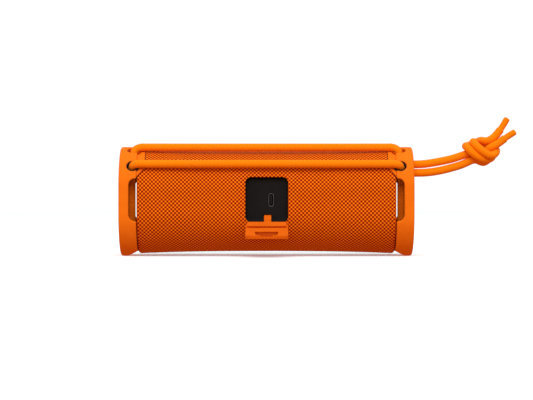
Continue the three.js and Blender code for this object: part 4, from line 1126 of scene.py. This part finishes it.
# ---------------------------------------------------------------- pieces kept from the frame
KEPT = {
    "housing": DARK_PLASTIC, "end_plate": DARK_PLASTIC, "radiator_surround": BLACK_RUBBER, "radiator_plate": DARK_STEEL,
    "cap_screw": STEEL, "woofer_basket": DARK_STEEL, "woofer_magnet": DARK_STEEL, "woofer_surround": BLACK_RUBBER, "woofer_cone": CONE,
    "tweeter_body": DARK_STEEL, "tweeter_dome": DOME, "battery_cell": CELL, "battery_holder": BLACK_PLASTIC,
    "main_board": BOARD, "button_board": BOARD, "usb_board": BOARD,
}
for n, ob in CAD.items():
    for start, mat in KEPT.items():
        if n.startswith(start):
            finish(ob, mat)
            edge_round(ob, 0.15, 2)
            for p in ob.data.polygons:
                p.use_smooth = False

# ---------------------------------------------------------------- stage and light
DOME_LIGHT, DOME_BELOW = 0.93, (0.6, 0.26, 0.09, 1)
floor_me = bpy.data.meshes.new("floor")
floor_me.from_pydata([(-6, -6, 0), (6, -6, 0), (6, 6, 0), (-6, 6, 0)], [], [(0, 1, 2, 3)])
floor = bpy.data.objects.new("floor", floor_me)
scene.collection.objects.link(floor)
fm = Mat("floor")
floor_me.materials.append(fm.set(fm.ramp(fm.noise(3, 2), [(0.4, (0.87, 0.975, 0.99, 1)), (0.6, (0.89, 0.98, 1.0, 1))]), 0.8, Specular_IOR_Level=0.0, Emission_Color=(0.78, 0.97, 1, 1), Emission_Strength=0.2))
floor.visible_diffuse = False
floor.visible_glossy = False

world = bpy.data.worlds.new("world")
world.use_nodes = True
scene.world = world
wt = world.node_tree
bg = next(n for n in wt.nodes if n.type == "BACKGROUND")
out = next(n for n in wt.nodes if n.type == "OUTPUT_WORLD")
bg.inputs["Strength"].default_value = DOME_LIGHT
way = wt.nodes.new("ShaderNodeTexCoord")
split = wt.nodes.new("ShaderNodeSeparateXYZ")
wt.links.new(way.outputs["Generated"], split.inputs[0])
sky = wt.nodes.new("ShaderNodeValToRGB")
sky.color_ramp.elements[0].position = 0.47
sky.color_ramp.elements[0].color = DOME_BELOW
sky.color_ramp.elements[1].position = 0.53
sky.color_ramp.elements[1].color = (1, 1, 1, 1)
half = wt.nodes.new("ShaderNodeMath")
half.operation = "MULTIPLY_ADD"
half.inputs[1].default_value = 0.5
half.inputs[2].default_value = 0.5
wt.links.new(split.outputs["Z"], half.inputs[0])
wt.links.new(half.outputs[0], sky.inputs["Fac"])
wt.links.new(sky.outputs["Color"], bg.inputs["Color"])
plain = wt.nodes.new("ShaderNodeBackground")
plain.inputs["Color"].default_value = (1, 1, 1, 1)
plain.inputs["Strength"].default_value = 1.05
ray = wt.nodes.new("ShaderNodeLightPath")
pick = wt.nodes.new("ShaderNodeMixShader")
wt.links.new(ray.outputs["Is Camera Ray"], pick.inputs[0])
wt.links.new(bg.outputs[0], pick.inputs[1])
wt.links.new(plain.outputs[0], pick.inputs[2])
wt.links.new(pick.outputs[0], out.inputs["Surface"])


def area(name, loc, target, size, energy):
    ld = bpy.data.lights.new(name, "AREA")
    ld.shape = "RECTANGLE"
    ld.size, ld.size_y = size
    ld.energy = energy
    ob = bpy.data.objects.new(name, ld)
    scene.collection.objects.link(ob)
    ob.location = loc
    ob.rotation_mode = "QUATERNION"
    ob.rotation_quaternion = (Vector(target) - Vector(loc)).to_track_quat("-Z", "Y")
    return ob


area("key", (0, -1.9, 1.5), (0, 0, 0.04), (2.2, 1.2), 30)
scene.view_settings.view_transform = "Standard"
scene.view_settings.look = "None"
